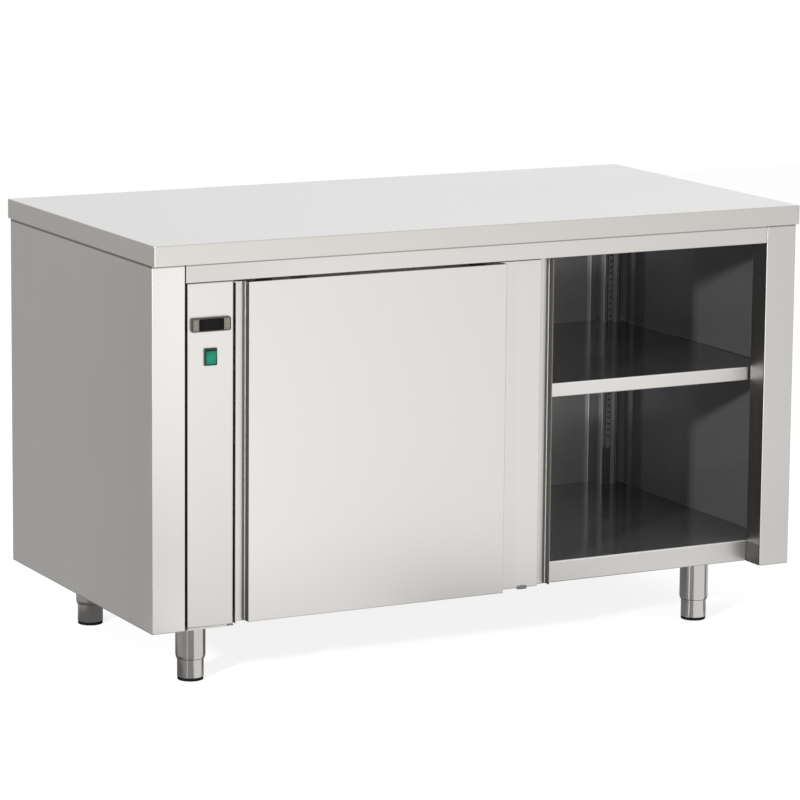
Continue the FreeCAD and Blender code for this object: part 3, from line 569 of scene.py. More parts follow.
@dataclass(frozen=True)
class LitLens(Finish):
    """Tinted clear plastic of the rocker, brighter where its lamp sits behind it."""

    name: str
    centre: Point
    deep: Colour = (0.0, 0.07, 0.045, 1.0)
    bright: Colour = (0.005, 0.18, 0.11, 1.0)
    lamp_drop: float = 0.001
    lamp_fade: tuple[float, float] = (0.003, 0.022)
    rib_height: float = 0.00008

    def paint(self, graph: Graph) -> None:
        """Lays the finish into a graph.

        Args:
            graph: The empty graph.
        """
        x, _, z = graph.axes()
        away = ((x - self.centre[0]) ** 2 + (z - self.centre[2] + self.lamp_drop) ** 2) ** 0.5
        ribs = graph.node("ShaderNodeTexWave", {"bands_direction": "Z"},
                          {"Vector": graph.object_point((1, 1, 1)), "Scale": 190.0, "Distortion": 0.3})
        glow = away.ramp(*self.lamp_fade, 1.0, 0.0)
        graph.surface({
            "Base Color": graph.mix(glow * 0.75 + ribs * 0.2, self.deep, self.bright),
            "Roughness": ribs * 0.08 + 0.16,
            "Specular IOR Level": 0.2,
            "Coat Weight": 0.06,
            "Coat Roughness": 0.06,
            "Emission Color": graph.mix(glow, (0, 0.02, 0.012, 1), (0.0, 0.22, 0.13, 1)),
            "Emission Strength": 0.15,
            "Normal": graph.bump(ribs, self.rib_height),
        })


@dataclass(frozen=True)
class PlainStuff(Finish):
    """Dull stuff with a coarse structure: wool, chipboard, enamel or rubber."""

    name: str
    first: Colour
    second: Colour
    scale: Point
    roughness: float = 0.85
    depth: float = 0.0006
    metallic: float = 0.0
    specular: float = 0.5

    def paint(self, graph: Graph) -> None:
        """Lays the finish into a graph.

        Args:
            graph: The empty graph.
        """
        coarse = graph.noise(self.scale, detail=5, rough=0.65)
        point = graph.object_point(self.scale)
        chips = graph.node("ShaderNodeTexVoronoi", {}, {"Vector": point, "Scale": 1.6})
        share = (coarse * 0.7 + chips * 0.4).ramp(0.2, 0.9)
        graph.surface({
            "Base Color": graph.mix(share, self.first, self.second),
            "Metallic": self.metallic,
            "Roughness": (coarse - 0.5) * 0.2 + self.roughness,
            "Specular IOR Level": self.specular,
            "Normal": graph.bump(coarse * 0.6 + chips * 0.4, self.depth),
        })


@dataclass(frozen=True)
class HeatTint(Finish):
    """Steel sheath of the ring element, straw and blue where it gets hot."""

    name: str = "heated_sheath"
    scale_height: float = 0.0001

    def paint(self, graph: Graph) -> None:
        """Lays the finish into a graph.

        Args:
            graph: The empty graph.
        """
        patch = graph.noise((22, 22, 22), detail=3)
        stops = [(0.0, (0.20, 0.16, 0.12, 1)), (0.45, (0.30, 0.22, 0.13, 1)),
                 (0.62, (0.16, 0.13, 0.16, 1)), (1.0, (0.24, 0.25, 0.28, 1))]
        graph.surface({
            "Base Color": graph.node("ShaderNodeValToRGB", {"stops": stops}, {"Fac": patch}),
            "Metallic": 1.0,
            "Roughness": patch.ramp(0.3, 0.7, 0.3, 0.5),
            "Normal": graph.bump(patch, self.scale_height),
        })


class Finishes:
    """All the finishes of the cabinet, each made once."""

    def __init__(self) -> None:
        """Makes the materials."""
        bezel_low, bezel_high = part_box("thermostat_case")
        rocker_low, rocker_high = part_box("switch_rocker")
        rocker_centre = (rocker_low + rocker_high) / 2
        x, z = Grain.ALONG_X, Grain.ALONG_Z
        self.long_sheet = BrushedSteel("lengthwise_brushed_steel", x).material()
        self.lining = BrightSteel("bright_lining_upright", z).material()
        self.flat = BrightSteel("bright_lining_flat", x, roughness=0.12, metallic=0.84).material()
        self.tube = DrawnTube("drawn_tube").material()
        self.track = BrushedSteel("track_aluminium", x, level=0.74, warm=0.0, roughness=0.42).material()
        self.rubber = PlainStuff("black_rubber", grey(0.005), grey(0.014), (160, 160, 160), 0.7, 0.0001,
                                 specular=0.08).material()
        self.nylon = MouldedPlastic("natural_nylon", (0.74, 0.72, 0.66, 1), 0.5).material()
        self.black_plastic = MouldedPlastic("black_plastic", (0.022, 0.022, 0.023, 1), 0.38).material()
        self.worn_plastic = MouldedPlastic("worn_grey_plastic", grey(0.14), 0.55).material()
        self.olive_plastic = MouldedPlastic("olive_plastic", (0.148, 0.141, 0.122, 1), 0.46).material()
        self.mark_plastic = MouldedPlastic("pale_mark", (0.28, 0.27, 0.25, 1), 0.5).material()
        self.segment = MouldedPlastic("unlit_segment", (0.012, 0.007, 0.006, 1), 0.6, specular=0.2).material()
        self.window = SmokedWindow().material()
        self.bezel = BezelPlastic("bezel_plastic", tuple(bezel_low), tuple(bezel_high)).material()
        self.lens = LitLens("green_lens", tuple(rocker_centre)).material()
        self.wool = PlainStuff("mineral_wool", (0.50, 0.44, 0.26, 1), (0.66, 0.60, 0.40, 1), (90, 90, 400),
                               0.95).material()
        self.board = PlainStuff("chipboard", (0.36, 0.25, 0.14, 1), (0.56, 0.43, 0.27, 1), (140, 60, 140),
                                0.8, 0.0003).material()
        self.sheath = HeatTint().material()
        self.enamel = PlainStuff("motor_enamel", grey(0.03), grey(0.06), (120, 120, 120), 0.4,
                                 0.00005).material()
        self.zinc = BrushedSteel("plated_steel", z, level=0.62, roughness=0.3).material()
        # Near-black steel for the hangers, which also paints the shade in the gap above the doors.
        self.black_and_gap_shade = BrushedSteel("blackened_steel", z, level=0.03, roughness=0.5).material()


def wear(node: str, material: bpy.types.Material) -> None:
    """Gives a node of the fixed frame its finish.

    Args:
        node: The node's name.
        material: Its material.
    """
    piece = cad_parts[node]
    if not piece.material_slots:
        piece.data.materials.append(material)
    for place in piece.material_slots:
        place.material = material


def clear_selection() -> None:
    """Leaves edit mode and selects nothing."""
    if bpy.context.object is not None and bpy.context.object.mode != "OBJECT":
        bpy.ops.object.mode_set(mode="OBJECT")
    bpy.ops.object.select_all(action="DESELECT")


def only(piece: bpy.types.Object) -> None:
    """Selects one object and makes it active.

    Args:
        piece: The object.
    """
    clear_selection()
    piece.select_set(True)
    bpy.context.view_layer.objects.active = piece


def settle(piece: bpy.types.Object) -> None:
    """Moves an object's place, turn and scale into its mesh.

    Args:
        piece: The object.
    """
    only(piece)
    bpy.ops.object.transform_apply(location=True, rotation=True, scale=True)


def add_modifier(piece: bpy.types.Object, kind: str, **settings: Any) -> None:
    """Adds a modifier and applies it.

    Args:
        piece: The object.
        kind: The modifier's type.
        settings: Its attributes.
    """
    only(piece)
    modifier = piece.modifiers.new(kind.lower(), kind)
    for name, value in settings.items():
        setattr(modifier, name, value)
    bpy.ops.object.modifier_apply(modifier=modifier.name)


def cylinder(sides: int, radius: float, height: float, centre: Point = (0.0, 0.0, 0.0)) -> bpy.types.Object:
    """Adds a cylinder that stands along Z.

    Args:
        sides: Number of its sides.
        radius: Its radius.
        height: Its height.
        centre: Its middle.

    Returns:
        The cylinder, settled.
    """
    clear_selection()
    bpy.ops.mesh.primitive_cylinder_add(vertices=sides, radius=radius, depth=height, location=centre)
    piece = bpy.context.object
    settle(piece)
    return piece


def block(size: Point, centre: Point, turn: float = 0.0) -> bpy.types.Object:
    """Adds a block.

    Args:
        size: Its length, depth and height.
        centre: Its middle.
        turn: Its turn about Z.

    Returns:
        The block, settled.
    """
    clear_selection()
    bpy.ops.mesh.primitive_cube_add(size=1, location=centre, rotation=(0, 0, turn))
    piece = bpy.context.object
    piece.scale = size
    settle(piece)
    return piece


def smooth(piece: bpy.types.Object, degrees: float = 35.0) -> None:
    """Shades smooth, with edges sharper than an angle kept hard.

    Args:
        piece: The object.
        degrees: The angle.
    """
    only(piece)
    bpy.ops.object.shade_smooth_by_angle(angle=math.radians(degrees))


def pick_faces(piece: bpy.types.Object, towards: Point, closeness: float = 0.99) -> None:
    """Selects the faces that look in one direction, in edit mode.

    Args:
        piece: The active object, in object mode.
        towards: Direction of the faces' normals.
        closeness: Least cosine between a normal and the direction.
    """
    bpy.ops.object.mode_set(mode="EDIT")
    bpy.ops.mesh.select_all(action="DESELECT")
    bpy.ops.mesh.select_mode(type="FACE")
    bpy.ops.object.mode_set(mode="OBJECT")
    direction = Vector(towards).normalized()
    for face in piece.data.polygons:
        face.select = face.normal.dot(direction) > closeness
    bpy.ops.object.mode_set(mode="EDIT")


def copies(master: bpy.types.Object, places: Iterable[Matrix], name: str) -> bpy.types.Object:
    """Copies a piece to many places and joins the copies into one piece.

    Args:
        master: The modelled piece at the origin, which is removed.
        places: Where each copy goes.
        name: Name of the joined piece.

    Returns:
        The joined piece, settled.
    """
    made = []
    for place in places:
        copy = master.copy()
        copy.data = master.data.copy()
        bpy.context.scene.collection.objects.link(copy)
        copy.matrix_world = place @ master.matrix_world
        made.append(copy)
    clear_selection()
    for copy in made:
        copy.select_set(True)
    bpy.context.view_layer.objects.active = made[0]
    bpy.ops.object.join()
    joined = bpy.context.view_layer.objects.active
    joined.name = name
    settle(joined)
    bpy.data.objects.remove(master)
    return joined


@dataclass
class Piece:
    """What a finished new piece is called, rides on and looks like."""

    name: str
    body: str
    slot: str
    material: bpy.types.Material
    replaces: tuple[str, ...] = ()

    def finish(self, piece: bpy.types.Object) -> None:
        """Names, dresses and mounts a modelled piece.

        Args:
            piece: The piece in its place.
        """
        settle(piece)
        piece.name = self.name
        piece.data.name = self.name
        piece.data.materials.clear()
        piece.data.materials.append(self.material)
        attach(piece, self.body)
        if self.replaces:
            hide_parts(*self.replaces)
        log.info("%s: %d faces", self.name, len(piece.data.polygons))


@dataclass
class Screw:
    """Pan-head screw with a cross recess."""

    head_radius: float = 0.0042
    head_height: float = 0.0022
    rounding_share: float = 0.55
    recess: float = 0.0042
    recess_width: float = 0.0009

    def model(self) -> bpy.types.Object:
        """Models the head, pointing along +Z from the origin.

        Returns:
            The head.
        """
        head = cylinder(20, self.head_radius, self.head_height, (0, 0, self.head_height / 2))
        pick_faces(head, (0, 0, 1))
        bpy.ops.mesh.bevel(offset=self.head_height * self.rounding_share, segments=3, profile=0.6)
        bpy.ops.object.mode_set(mode="OBJECT")
        for turn in (0.0, math.pi / 2):
            cutter = block((self.recess, self.recess_width, self.head_height), (0, 0, self.head_height), turn)
            add_modifier(head, "BOOLEAN", operation="DIFFERENCE", object=cutter)
            bpy.data.objects.remove(cutter)
        return head


@dataclass
class Carcass:
    """Worktop, outer panels, header and pan."""

    finishes: Finishes
    edge_inset: float = 0.020
    end_inset: float = 0.035
    screw_pitch: float = 0.22
    screw_head: float = 0.0011
    skin: float = 0.0015
    # Width of the painted shadow line under the worktop.
    joint: float = 0.0045
    beyond: float = 0.1
    return_width: float = 0.060
    return_foot: float = 0.042
    left_base: float = 0.07
    right_base: float = 0.12
    header_end: float = 0.16
    near_depth: float = 0.22
    well_before: float = 0.5
    side_roughness: float = 0.36

    def worktop(self) -> None:
        """Dresses the worktop: its front edge painted darker as shade and warmer than the top, its side a
        little warmer than the top.
        """
        low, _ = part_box("worktop")
        # The front edge patch is painted shade; the side patch only tints warmer.
        edge = Patch({"y": about(low.y, self.skin)}, 0.34, tone=(0.60, 0.52, 0.45, 1.0))
        side = Patch({"x": about(low.x, self.skin)}, 0.30, tone=(0.86, 0.76, 0.66, 1.0))
        finish = BrushedSteel("worktop_steel", Grain.ALONG_X, 0.76, 0.006, 0.36, patches=(edge, side))
        wear("worktop", finish.material())

    def left_side(self) -> None:
        """Dresses the left side with painted shade and light: the post's front darker towards the foot and
        paler at it, the outer face darker and more so towards the front, the shadow under the worktop and the
        lower edge.
        """
        low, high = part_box("left_side_panel")
        front, outside = about(low.y, self.skin), about(low.x, self.skin)
        near = (low.y - self.well_before, low.y + self.near_depth)
        patches = (
            # Painted shade and light: the post darker towards its foot, paler at the foot itself, the outer
            # face darker, more so towards the front.
            Patch({"y": front}, -0.0001, -0.24),
            Patch({"y": front, "z": (low.z - self.beyond, low.z + self.left_base)}, 0.80, soft=0.10),
            Patch({"x": outside}, -0.11),
            Patch({"x": outside, "y": near}, -0.12, soft=self.near_depth),
            *self.rims(low, high),
        )
        finish = BrushedSteel("left_side_steel", Grain.ALONG_Z, 0.85, roughness=self.side_roughness,
                              patches=patches)
        wear("left_side_panel", finish.material())

    def right_side(self) -> None:
        """Dresses the right side with painted shade: the post's shaded return and its foot, the post's front
        near the floor, a dark line along the return's front edge, the shadow under the worktop and the lower
        edge.
        """
        low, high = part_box("right_side_panel")
        front, outside = about(low.y, self.skin), about(low.x, self.skin)
        inside = {"x": (low.x - 2 * self.skin, high.x - self.return_width), "y": (low.y + self.skin, high.y)}
        patches = (
            # All painted shade: the return, its foot, the post's front near the floor and a line along the
            # return's front edge.
            Patch(inside, -0.45),
            Patch({**inside, "z": (low.z - self.beyond, low.z + self.return_foot)}, -0.55),
            Patch({"y": front, "z": (low.z - self.beyond, low.z + self.right_base)}, -0.20, soft=0.15),
            Patch({"x": outside, "y": (low.y + self.skin, low.y + self.joint)}, -0.7),
            *self.rims(low, high),
        )
        finish = BrushedSteel("right_side_steel", Grain.ALONG_Z, 0.69, roughness=self.side_roughness,
                              patches=patches)
        wear("right_side_panel", finish.material())

    def rims(self, low: Vector, high: Vector) -> tuple[Patch, Patch]:
        """Painted shade on the upper and lower rim of a side.

        Args:
            low: Lowest corner of the side.
            high: Highest corner.

        Returns:
            The painted shadow line under the worktop and painted shade along the lower edge.
        """
        # Painted shadow under the worktop's edge, painted shade along the lower edge.
        under = Patch({"z": (high.z - self.joint, high.z + self.skin)}, -0.62)
        return under, Patch({"z": about(low.z, self.skin)}, -0.45)

    def header(self) -> None:
        """Dresses the header, with painted shadow under the worktop and painted shade towards its left end.
        """
        low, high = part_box("header")
        # Painted shadow under the worktop's edge, painted shade towards the left end.
        under = Patch({"z": (high.z - self.joint, high.z + self.skin)}, -0.50)
        end = Patch({"x": (low.x - 2 * self.beyond, low.x + self.header_end)}, -0.09, soft=0.14)
        wear("header", BrushedSteel("header_steel", Grain.ALONG_X, patches=(end, under)).material())

    def fasten(self) -> None:
        """Screws the back panel along its edges."""
        low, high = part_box("back_panel")
        outside = high.y
        count_x = round((high.x - low.x) / self.screw_pitch)
        spots = []
        for index in range(count_x + 1):
            x = low.x + self.end_inset + (high.x - low.x - 2 * self.end_inset) * index / count_x
            spots += [(x, low.z + self.edge_inset), (x, high.z - self.edge_inset)]
        turn = Matrix.Rotation(-math.pi / 2, 4, "X")
        places = [Matrix.Translation((x, outside, z)) @ turn for x, z in spots]
        screws = copies(Screw(head_height=self.screw_head).model(), places, "back_panel_screws")
        Piece("back_panel_screws", "cabinet", "inner_steel", self.finishes.zinc).finish(screws)

    def build(self) -> None:
        """Dresses and fastens the carcass."""
        self.worktop()
        self.left_side()
        self.right_side()
        self.header()
        wear("worktop_board", self.finishes.board)
        for node in ("back_panel", "bottom_pan"):
            wear(node, self.finishes.long_sheet)
        log.info("carcass dressed")
        self.fasten()


@dataclass
class HeatedSpace:
    """Linings, deck, shelf, uprights and strips."""

    finishes: Finishes
    bend: float = 0.0016
    line: float = 0.0010
    flange: float = 0.0135
    slot_line: float = 0.0155
    slot_reach: float = 0.005
    slot_foot: float = 0.09
    beside: float = 0.009
    strip_inset: float = 0.003
    groove: tuple[float, float] = (0.0035, 0.0060)
    ridge: tuple[float, float] = (0.0062, 0.0085)
    strip_face: tuple[float, float] = (-0.003, 0.001)
    # Spans along Y of the right lining's painted shade towards the rear, its darker shaded band and its
    # painted light at the corner.
    rear: tuple[float, float] = (0.05, 0.60)
    shaded: tuple[float, float] = (0.213, 0.282)
    corner: tuple[float, float] = (0.290, 0.60)
    seam: float = 0.0045
    beyond: float = 0.2
    lip_end: float = 0.20
    far_end: float = 0.10
    # Height of the painted shade line where the shelf meets the right lining, from the shelf's top.
    shelf_gap_shade: tuple[float, float] = (-0.0022, 0.0002)

    def upright(self, node: str, side: int) -> None:
        """Dresses a rear upright with painted highlights on its bends and its flange's edge, painted shade
        along the strip's slots and a band of painted light beside its far bend.

        Args:
            node: The upright's node.
            side: 1 where its flange points left, -1 where it points right.
        """
        low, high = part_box(node)
        outer, edge = (low.x + self.flange, low.x) if side == 1 else (high.x - self.flange, high.x)
        far = high.x if side == 1 else low.x
        front = (low.y - self.bend, low.y + 2 * self.bend)
        slots = about(outer + side * self.slot_line, self.slot_reach)
        # Painted highlights on the bends and the flange's edge, painted shade along the slots, painted light
        # beside the far bend.
        patches = (
            Patch({"x": about(outer, self.line), "y": front}, 1.0),
            Patch({"x": about(far, self.line), "y": front}, 1.0),
            Patch({"x": (edge - self.bend, edge + self.line)}, 1.0),
            Patch({"x": slots, "y": front, "z": (low.z + self.slot_foot, high.z)}, -0.97),
            Patch({"x": about(far - side * self.beside, self.beside / 2), "y": front}, 0.8),
        )
        wear(node, BrightSteel(f"{node}_steel", Grain.ALONG_Z, patches=patches).material())

    def strips(self) -> None:
        """Dresses the slotted strips, the one in the rear right corner with painted shade in the groove along
        its slots and a painted highlight on the ridge beside it.
        """
        low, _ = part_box("right_upright")
        left = low.x + self.flange + self.strip_inset
        face = tuple(low.y + reach for reach in self.strip_face)
        # Painted shade in the groove and a painted highlight on the ridge.
        groove, ridge = (Patch({"x": (left + start, left + end), "y": face}, shade)
                         for (start, end), shade in ((self.groove, -0.75), (self.ridge, 0.35)))
        finish = BrushedSteel("slotted_strip_steel", Grain.ALONG_Z, level=0.5, roughness=0.42, metallic=0.7,
                              patches=(groove, ridge))
        wear("rack_strips", finish.material())

    def folded_sheet(self, node: str, level: float, lip_level: float, fall: float,
                     far_fall: float = 0.0) -> None:
        """Dresses a bright sheet with a brushed front lip, a painted highlight on the bend above it, and
        painted shade along the lip's lower edge, at the gaps by its rear and right edges and towards its
        right end.

        Args:
            node: The sheet's node.
            level: Brightness of the sheet.
            lip_level: Brightness of the lip.
            fall: How much painted shade darkens the lip's right end, below zero, or painted light pales it,
                above.
            far_fall: How much painted shade darkens the sheet's right end, below zero.
        """
        low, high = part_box(node)
        front = about(low.y, self.bend)
        # Painted highlight on the bend, painted shade along the lip's foot, at its right end, in the gaps at
        # the rear and right and towards the right end.
        patches = (
            Patch({"y": front, "z": (high.z - 2 * self.bend, high.z + self.bend)}, 0.5),
            Patch({"y": front, "z": about(low.z, self.bend)}, -0.5),
            Patch({"x": (high.x - self.lip_end, high.x + self.beyond), "y": front}, fall, soft=0.14),
            Patch({"y": (high.y - self.seam, high.y + self.bend)}, -0.8),
            Patch({"x": (high.x - self.seam, high.x + self.bend), "y": (low.y + self.flange, high.y)}, -0.8),
            Patch({"x": (high.x - self.far_end, high.x + self.beyond), "y": (low.y + self.seam, high.y)},
                  far_fall, soft=0.12),
        )
        finish = BrightSteel(f"{node}_steel", Grain.ALONG_X, level, roughness=0.12, metallic=0.84,
                             lip_face=low.y, lip_level=lip_level, patches=patches)
        wear(node, finish.material())

    def walls(self) -> None:
        """Dresses the right and the back lining, the right one duller, with painted shade towards the rear
        and in a band before the corner, painted light at the rear corner and a painted shade line where the
        shelf meets it.
        """
        shelf_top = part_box("shelf")[1].z
        # Painted shade towards the rear and in a band before the corner, painted light at the corner, painted
        # shade along the shelf's top.
        patches = (
            Patch({"y": self.rear}, 1.0, soft=0.06, tone=(0.175, 0.175, 0.188, 1.0)),
            Patch({"y": self.shaded}, -0.24, soft=0.004),
            Patch({"y": self.corner}, 1.0, soft=0.008, tone=(0.40, 0.40, 0.42, 1.0)),
            Patch({"z": tuple(shelf_top + reach for reach in self.shelf_gap_shade)}, -0.8),
        )
        right = BrightSteel("right_lining_steel", Grain.ALONG_Z, level=0.28, dull_from=0.05, dull_share=0.64,
                            patches=patches)
        wear("right_lining", right.material())
        back = BrightSteel("back_lining_steel", Grain.ALONG_Z, level=0.68, metallic=0.60)
        wear("back_lining", back.material())

    def build(self) -> None:
        """Gives the inner sheets their finishes."""
        wear("partition", self.finishes.lining)
        self.walls()
        self.upright("right_upright", 1)
        self.upright("left_upright", -1)
        self.strips()
        wear("ceiling_lining", self.finishes.flat)
        self.folded_sheet("bottom_deck", 0.36, 0.65, 0.13, -0.38)
        self.folded_sheet("shelf", 0.20, 0.79, -0.18)
        wear("shelf_clips", self.finishes.zinc)
        wear("insulation_slabs", self.finishes.wool)
        log.info("heated space dressed")


@dataclass
class ControlColumn:
    """Control panel with its thermostat and switch."""

    finishes: Finishes
    digit_height: float = 0.0125
    digit_width: float = 0.0072
    digit_pitch: float = 0.0105
    stroke: float = 0.0013
    middle_share: float = 0.2
    digit_shift: float = -0.001
    relief: float = 0.0002
    fold: float = 0.0013
    arrow_radius: float = 0.0021
    arrow_line: float = 0.0004
    arrow_round: float = 0.00005
    arrow_sink: float = 0.00001
    arrow_rise: float = 0.0042
    rocker_size: Point = (0.0192, 0.0092, 0.0240)
    rocker_hollow: float = 0.0013
    rocker_cuts: int = 7
    rocker_edge: float = 0.0007
    rocker_corner: float = math.radians(50)
    touch: float = 1e-5
    rocker_tilt: float = math.radians(7)
    pivot_y: float = -0.3445
    pivot_z: float = 0.646

    def panel(self) -> None:
        """Dresses the panel with painted shade: its left fold in the gap's shade and its face darker towards
        the foot.
        """
        low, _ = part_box("control_panel")
        fold = Patch({"x": about(low.x, self.fold)}, -0.85)
        # Painted shade, growing towards the foot.
        fall = Patch({"y": about(low.y, self.fold)}, -0.0001, -0.13)
        finish = BrushedSteel("panel_steel", Grain.ALONG_Z, 0.75, patches=(fold, fall))
        wear("control_panel", finish.material())

    def dress(self) -> None:
        """Gives the column's nodes their finishes."""
        self.panel()
        wear("panel_bracket", self.finishes.zinc)
        wear("thermostat_case", self.finishes.bezel)
        wear("thermostat_window", self.finishes.window)
        wear("switch_housing", self.finishes.black_plastic)
        for node in ("left_key", "right_key"):
            wear(node, self.finishes.olive_plastic)

    def segment(self) -> bpy.types.Object:
        """Models one bar of a digit, lying along X at the origin.

        Returns:
            The bar.
        """
        bar = cylinder(6, self.stroke / 2, self.relief)
        half = self.digit_width / 2 - self.stroke
        for sign in (-1, 1):
            only(bar)
            bpy.ops.object.mode_set(mode="EDIT")
            bpy.ops.mesh.select_all(action="DESELECT")
            bpy.ops.mesh.select_mode(type="VERT")
            bpy.ops.object.mode_set(mode="OBJECT")
            for vertex in bar.data.vertices:
                vertex.select = vertex.co.x * sign > self.stroke * self.middle_share
            bpy.ops.object.mode_set(mode="EDIT")
            bpy.ops.transform.translate(value=(sign * half, 0, 0))
            bpy.ops.object.mode_set(mode="OBJECT")
        return bar

    def digits(self) -> None:
        """Lays three unlit digits on the window's face."""
        low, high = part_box("thermostat_window")
        centre = (low + high) / 2
        face = low.y - self.relief / 2
        half = self.digit_height / 2
        lie = Matrix.Rotation(math.pi / 2, 4, "X")
        stand = lie @ Matrix.Rotation(math.pi / 2, 4, "Z")
        places = []
        for column in (-1, 0, 1):
            x = centre.x + column * self.digit_pitch + self.digit_shift
            for z in (-half, 0.0, half):
                places.append(Matrix.Translation((x, face, centre.z + z)) @ lie)
            for side in (-1, 1):
                for z in (-half / 2, half / 2):
                    place = Matrix.Translation((x + side * self.digit_width / 2, face, centre.z + z))
                    places.append(place @ stand)
        bars = copies(self.segment(), places, "display_bars")
        Piece("display_bars", "cabinet", "dark_window", self.finishes.segment).finish(bars)

    def key_marks(self) -> None:
        """Raises a small arrow on each key."""
        for node, turn in (("left_key", math.pi), ("right_key", 0.0)):
            low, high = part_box(node)
            centre = (low + high) / 2
            arrow = cylinder(3, self.arrow_radius, self.relief)
            pick_faces(arrow, (0, 0, 1))
            bpy.ops.mesh.inset(thickness=self.arrow_line)
            bpy.ops.mesh.delete(type="FACE")
            bpy.ops.object.mode_set(mode="OBJECT")
            add_modifier(arrow, "BEVEL", width=self.arrow_round, segments=2)
            turned = Matrix.Rotation(math.pi / 2, 4, "X") @ Matrix.Rotation(turn, 4, "Z")
            face = low.y - self.relief / 2 + self.arrow_sink
            spots = [Matrix.Translation((centre.x, face, centre.z + rise)) @ turned
                     for rise in (-self.arrow_rise, self.arrow_rise)]
            marks = copies(arrow, spots, f"{node}_marks")
            Piece(f"{node}_marks", node, "key_grey", self.finishes.mark_plastic).finish(marks)

    def rocker(self) -> None:
        """Models the rocker: a block with a hollowed face and soft edges."""
        low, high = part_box("switch_rocker")
        thick, tall = self.rocker_size[1:]
        pivot = Vector(((low.x + high.x) / 2, self.pivot_y, self.pivot_z))
        lens = block(self.rocker_size, (0, -thick / 2, 0))
        only(lens)
        bpy.ops.object.mode_set(mode="EDIT")
        bpy.ops.mesh.select_all(action="SELECT")
        bpy.ops.mesh.subdivide(number_cuts=self.rocker_cuts)
        bpy.ops.object.mode_set(mode="OBJECT")
        for vertex in lens.data.vertices:
            if vertex.co.y < self.touch - thick:
                share = abs(vertex.co.z) / (tall / 2)
                vertex.co.y += self.rocker_hollow * (1 - share ** 2)
        add_modifier(lens, "BEVEL", width=self.rocker_edge, segments=3, limit_method="ANGLE",
                     angle_limit=self.rocker_corner)
        lens.matrix_world = Matrix.Translation(pivot) @ Matrix.Rotation(self.rocker_tilt, 4, "X")
        smooth(lens)
        node = "switch_rocker"
        Piece("rocker_lens", node, "green_lens", self.finishes.lens, (node,)).finish(lens)

    def build(self) -> None:
        """Dresses the column and adds its small pieces."""
        self.dress()
        self.digits()
        self.key_marks()
        self.rocker()


@dataclass
class Doors:
    """Both sliding doors, their running gear and the track."""

    finishes: Finishes
    grip_width: float = 0.026
    grip_depth: float = 0.0165
    sheet: float = 0.001
    fold: float = 0.0015
    mirror: float = 0.0065
    beyond: float = 0.1
    base: float = 0.07

    def skin(self, door: str, side: int) -> None:
        """Dresses a door's skin with painted shade on the grip's wall, a painted reflection of that wall in
        the grip's floor, and painted shade along and above the lower edge.

        Args:
            door: The door's name.
            side: 1 where the grip lies at the left, -1 at the right.
        """
        low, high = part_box(f"{door}_skin")
        left_grip = side == 1
        wall = low.x + self.sheet + self.grip_width if left_grip else high.x - self.sheet
        floor = low.y + self.grip_depth
        lip = (0.15 if left_grip else -0.2) * self.fold
        near = 0.9 * self.fold
        patches = (
            # Painted shade on the grip's wall and its painted reflection in the grip's floor; painted shade
            # at the lower edge.
            Patch({"x": about(wall, self.fold / 2), "y": (low.y + lip, floor - near)}, -0.76),
            Patch({"x": (wall - self.mirror, wall - near), "y": about(floor, self.fold / 2)}, -0.62),
            Patch({"z": about(low.z, self.fold)}, -0.3),
            Patch({"z": (low.z - self.beyond, low.z + self.base)}, -0.08 if left_grip else -0.02, soft=0.10),
        )
        finish = BrushedSteel(f"{door}_steel", Grain.ALONG_Z, 0.75, roughness=0.37, patches=patches)
        material = finish.material()
        wear(f"{door}_skin", material)
        wear(f"{door}_back", material)

    def build(self) -> None:
        """Gives the doors' nodes their finishes."""
        for door, side in (("front_door", 1), ("rear_door", -1)):
            self.skin(door, side)
            wear(f"{door}_core", self.finishes.wool)
            # The near-black hangers also paint the shade in the gap above the doors.
            wear(f"{door}_hangers", self.finishes.black_and_gap_shade)
            wear(f"{door}_wheels_left", self.finishes.nylon)
            wear(f"{door}_wheels_right", self.finishes.nylon)
        wear("door_track", self.finishes.track)
        wear("door_stops", self.finishes.rubber)
        wear("door_guides", self.finishes.worn_plastic)
        log.info("doors dressed")


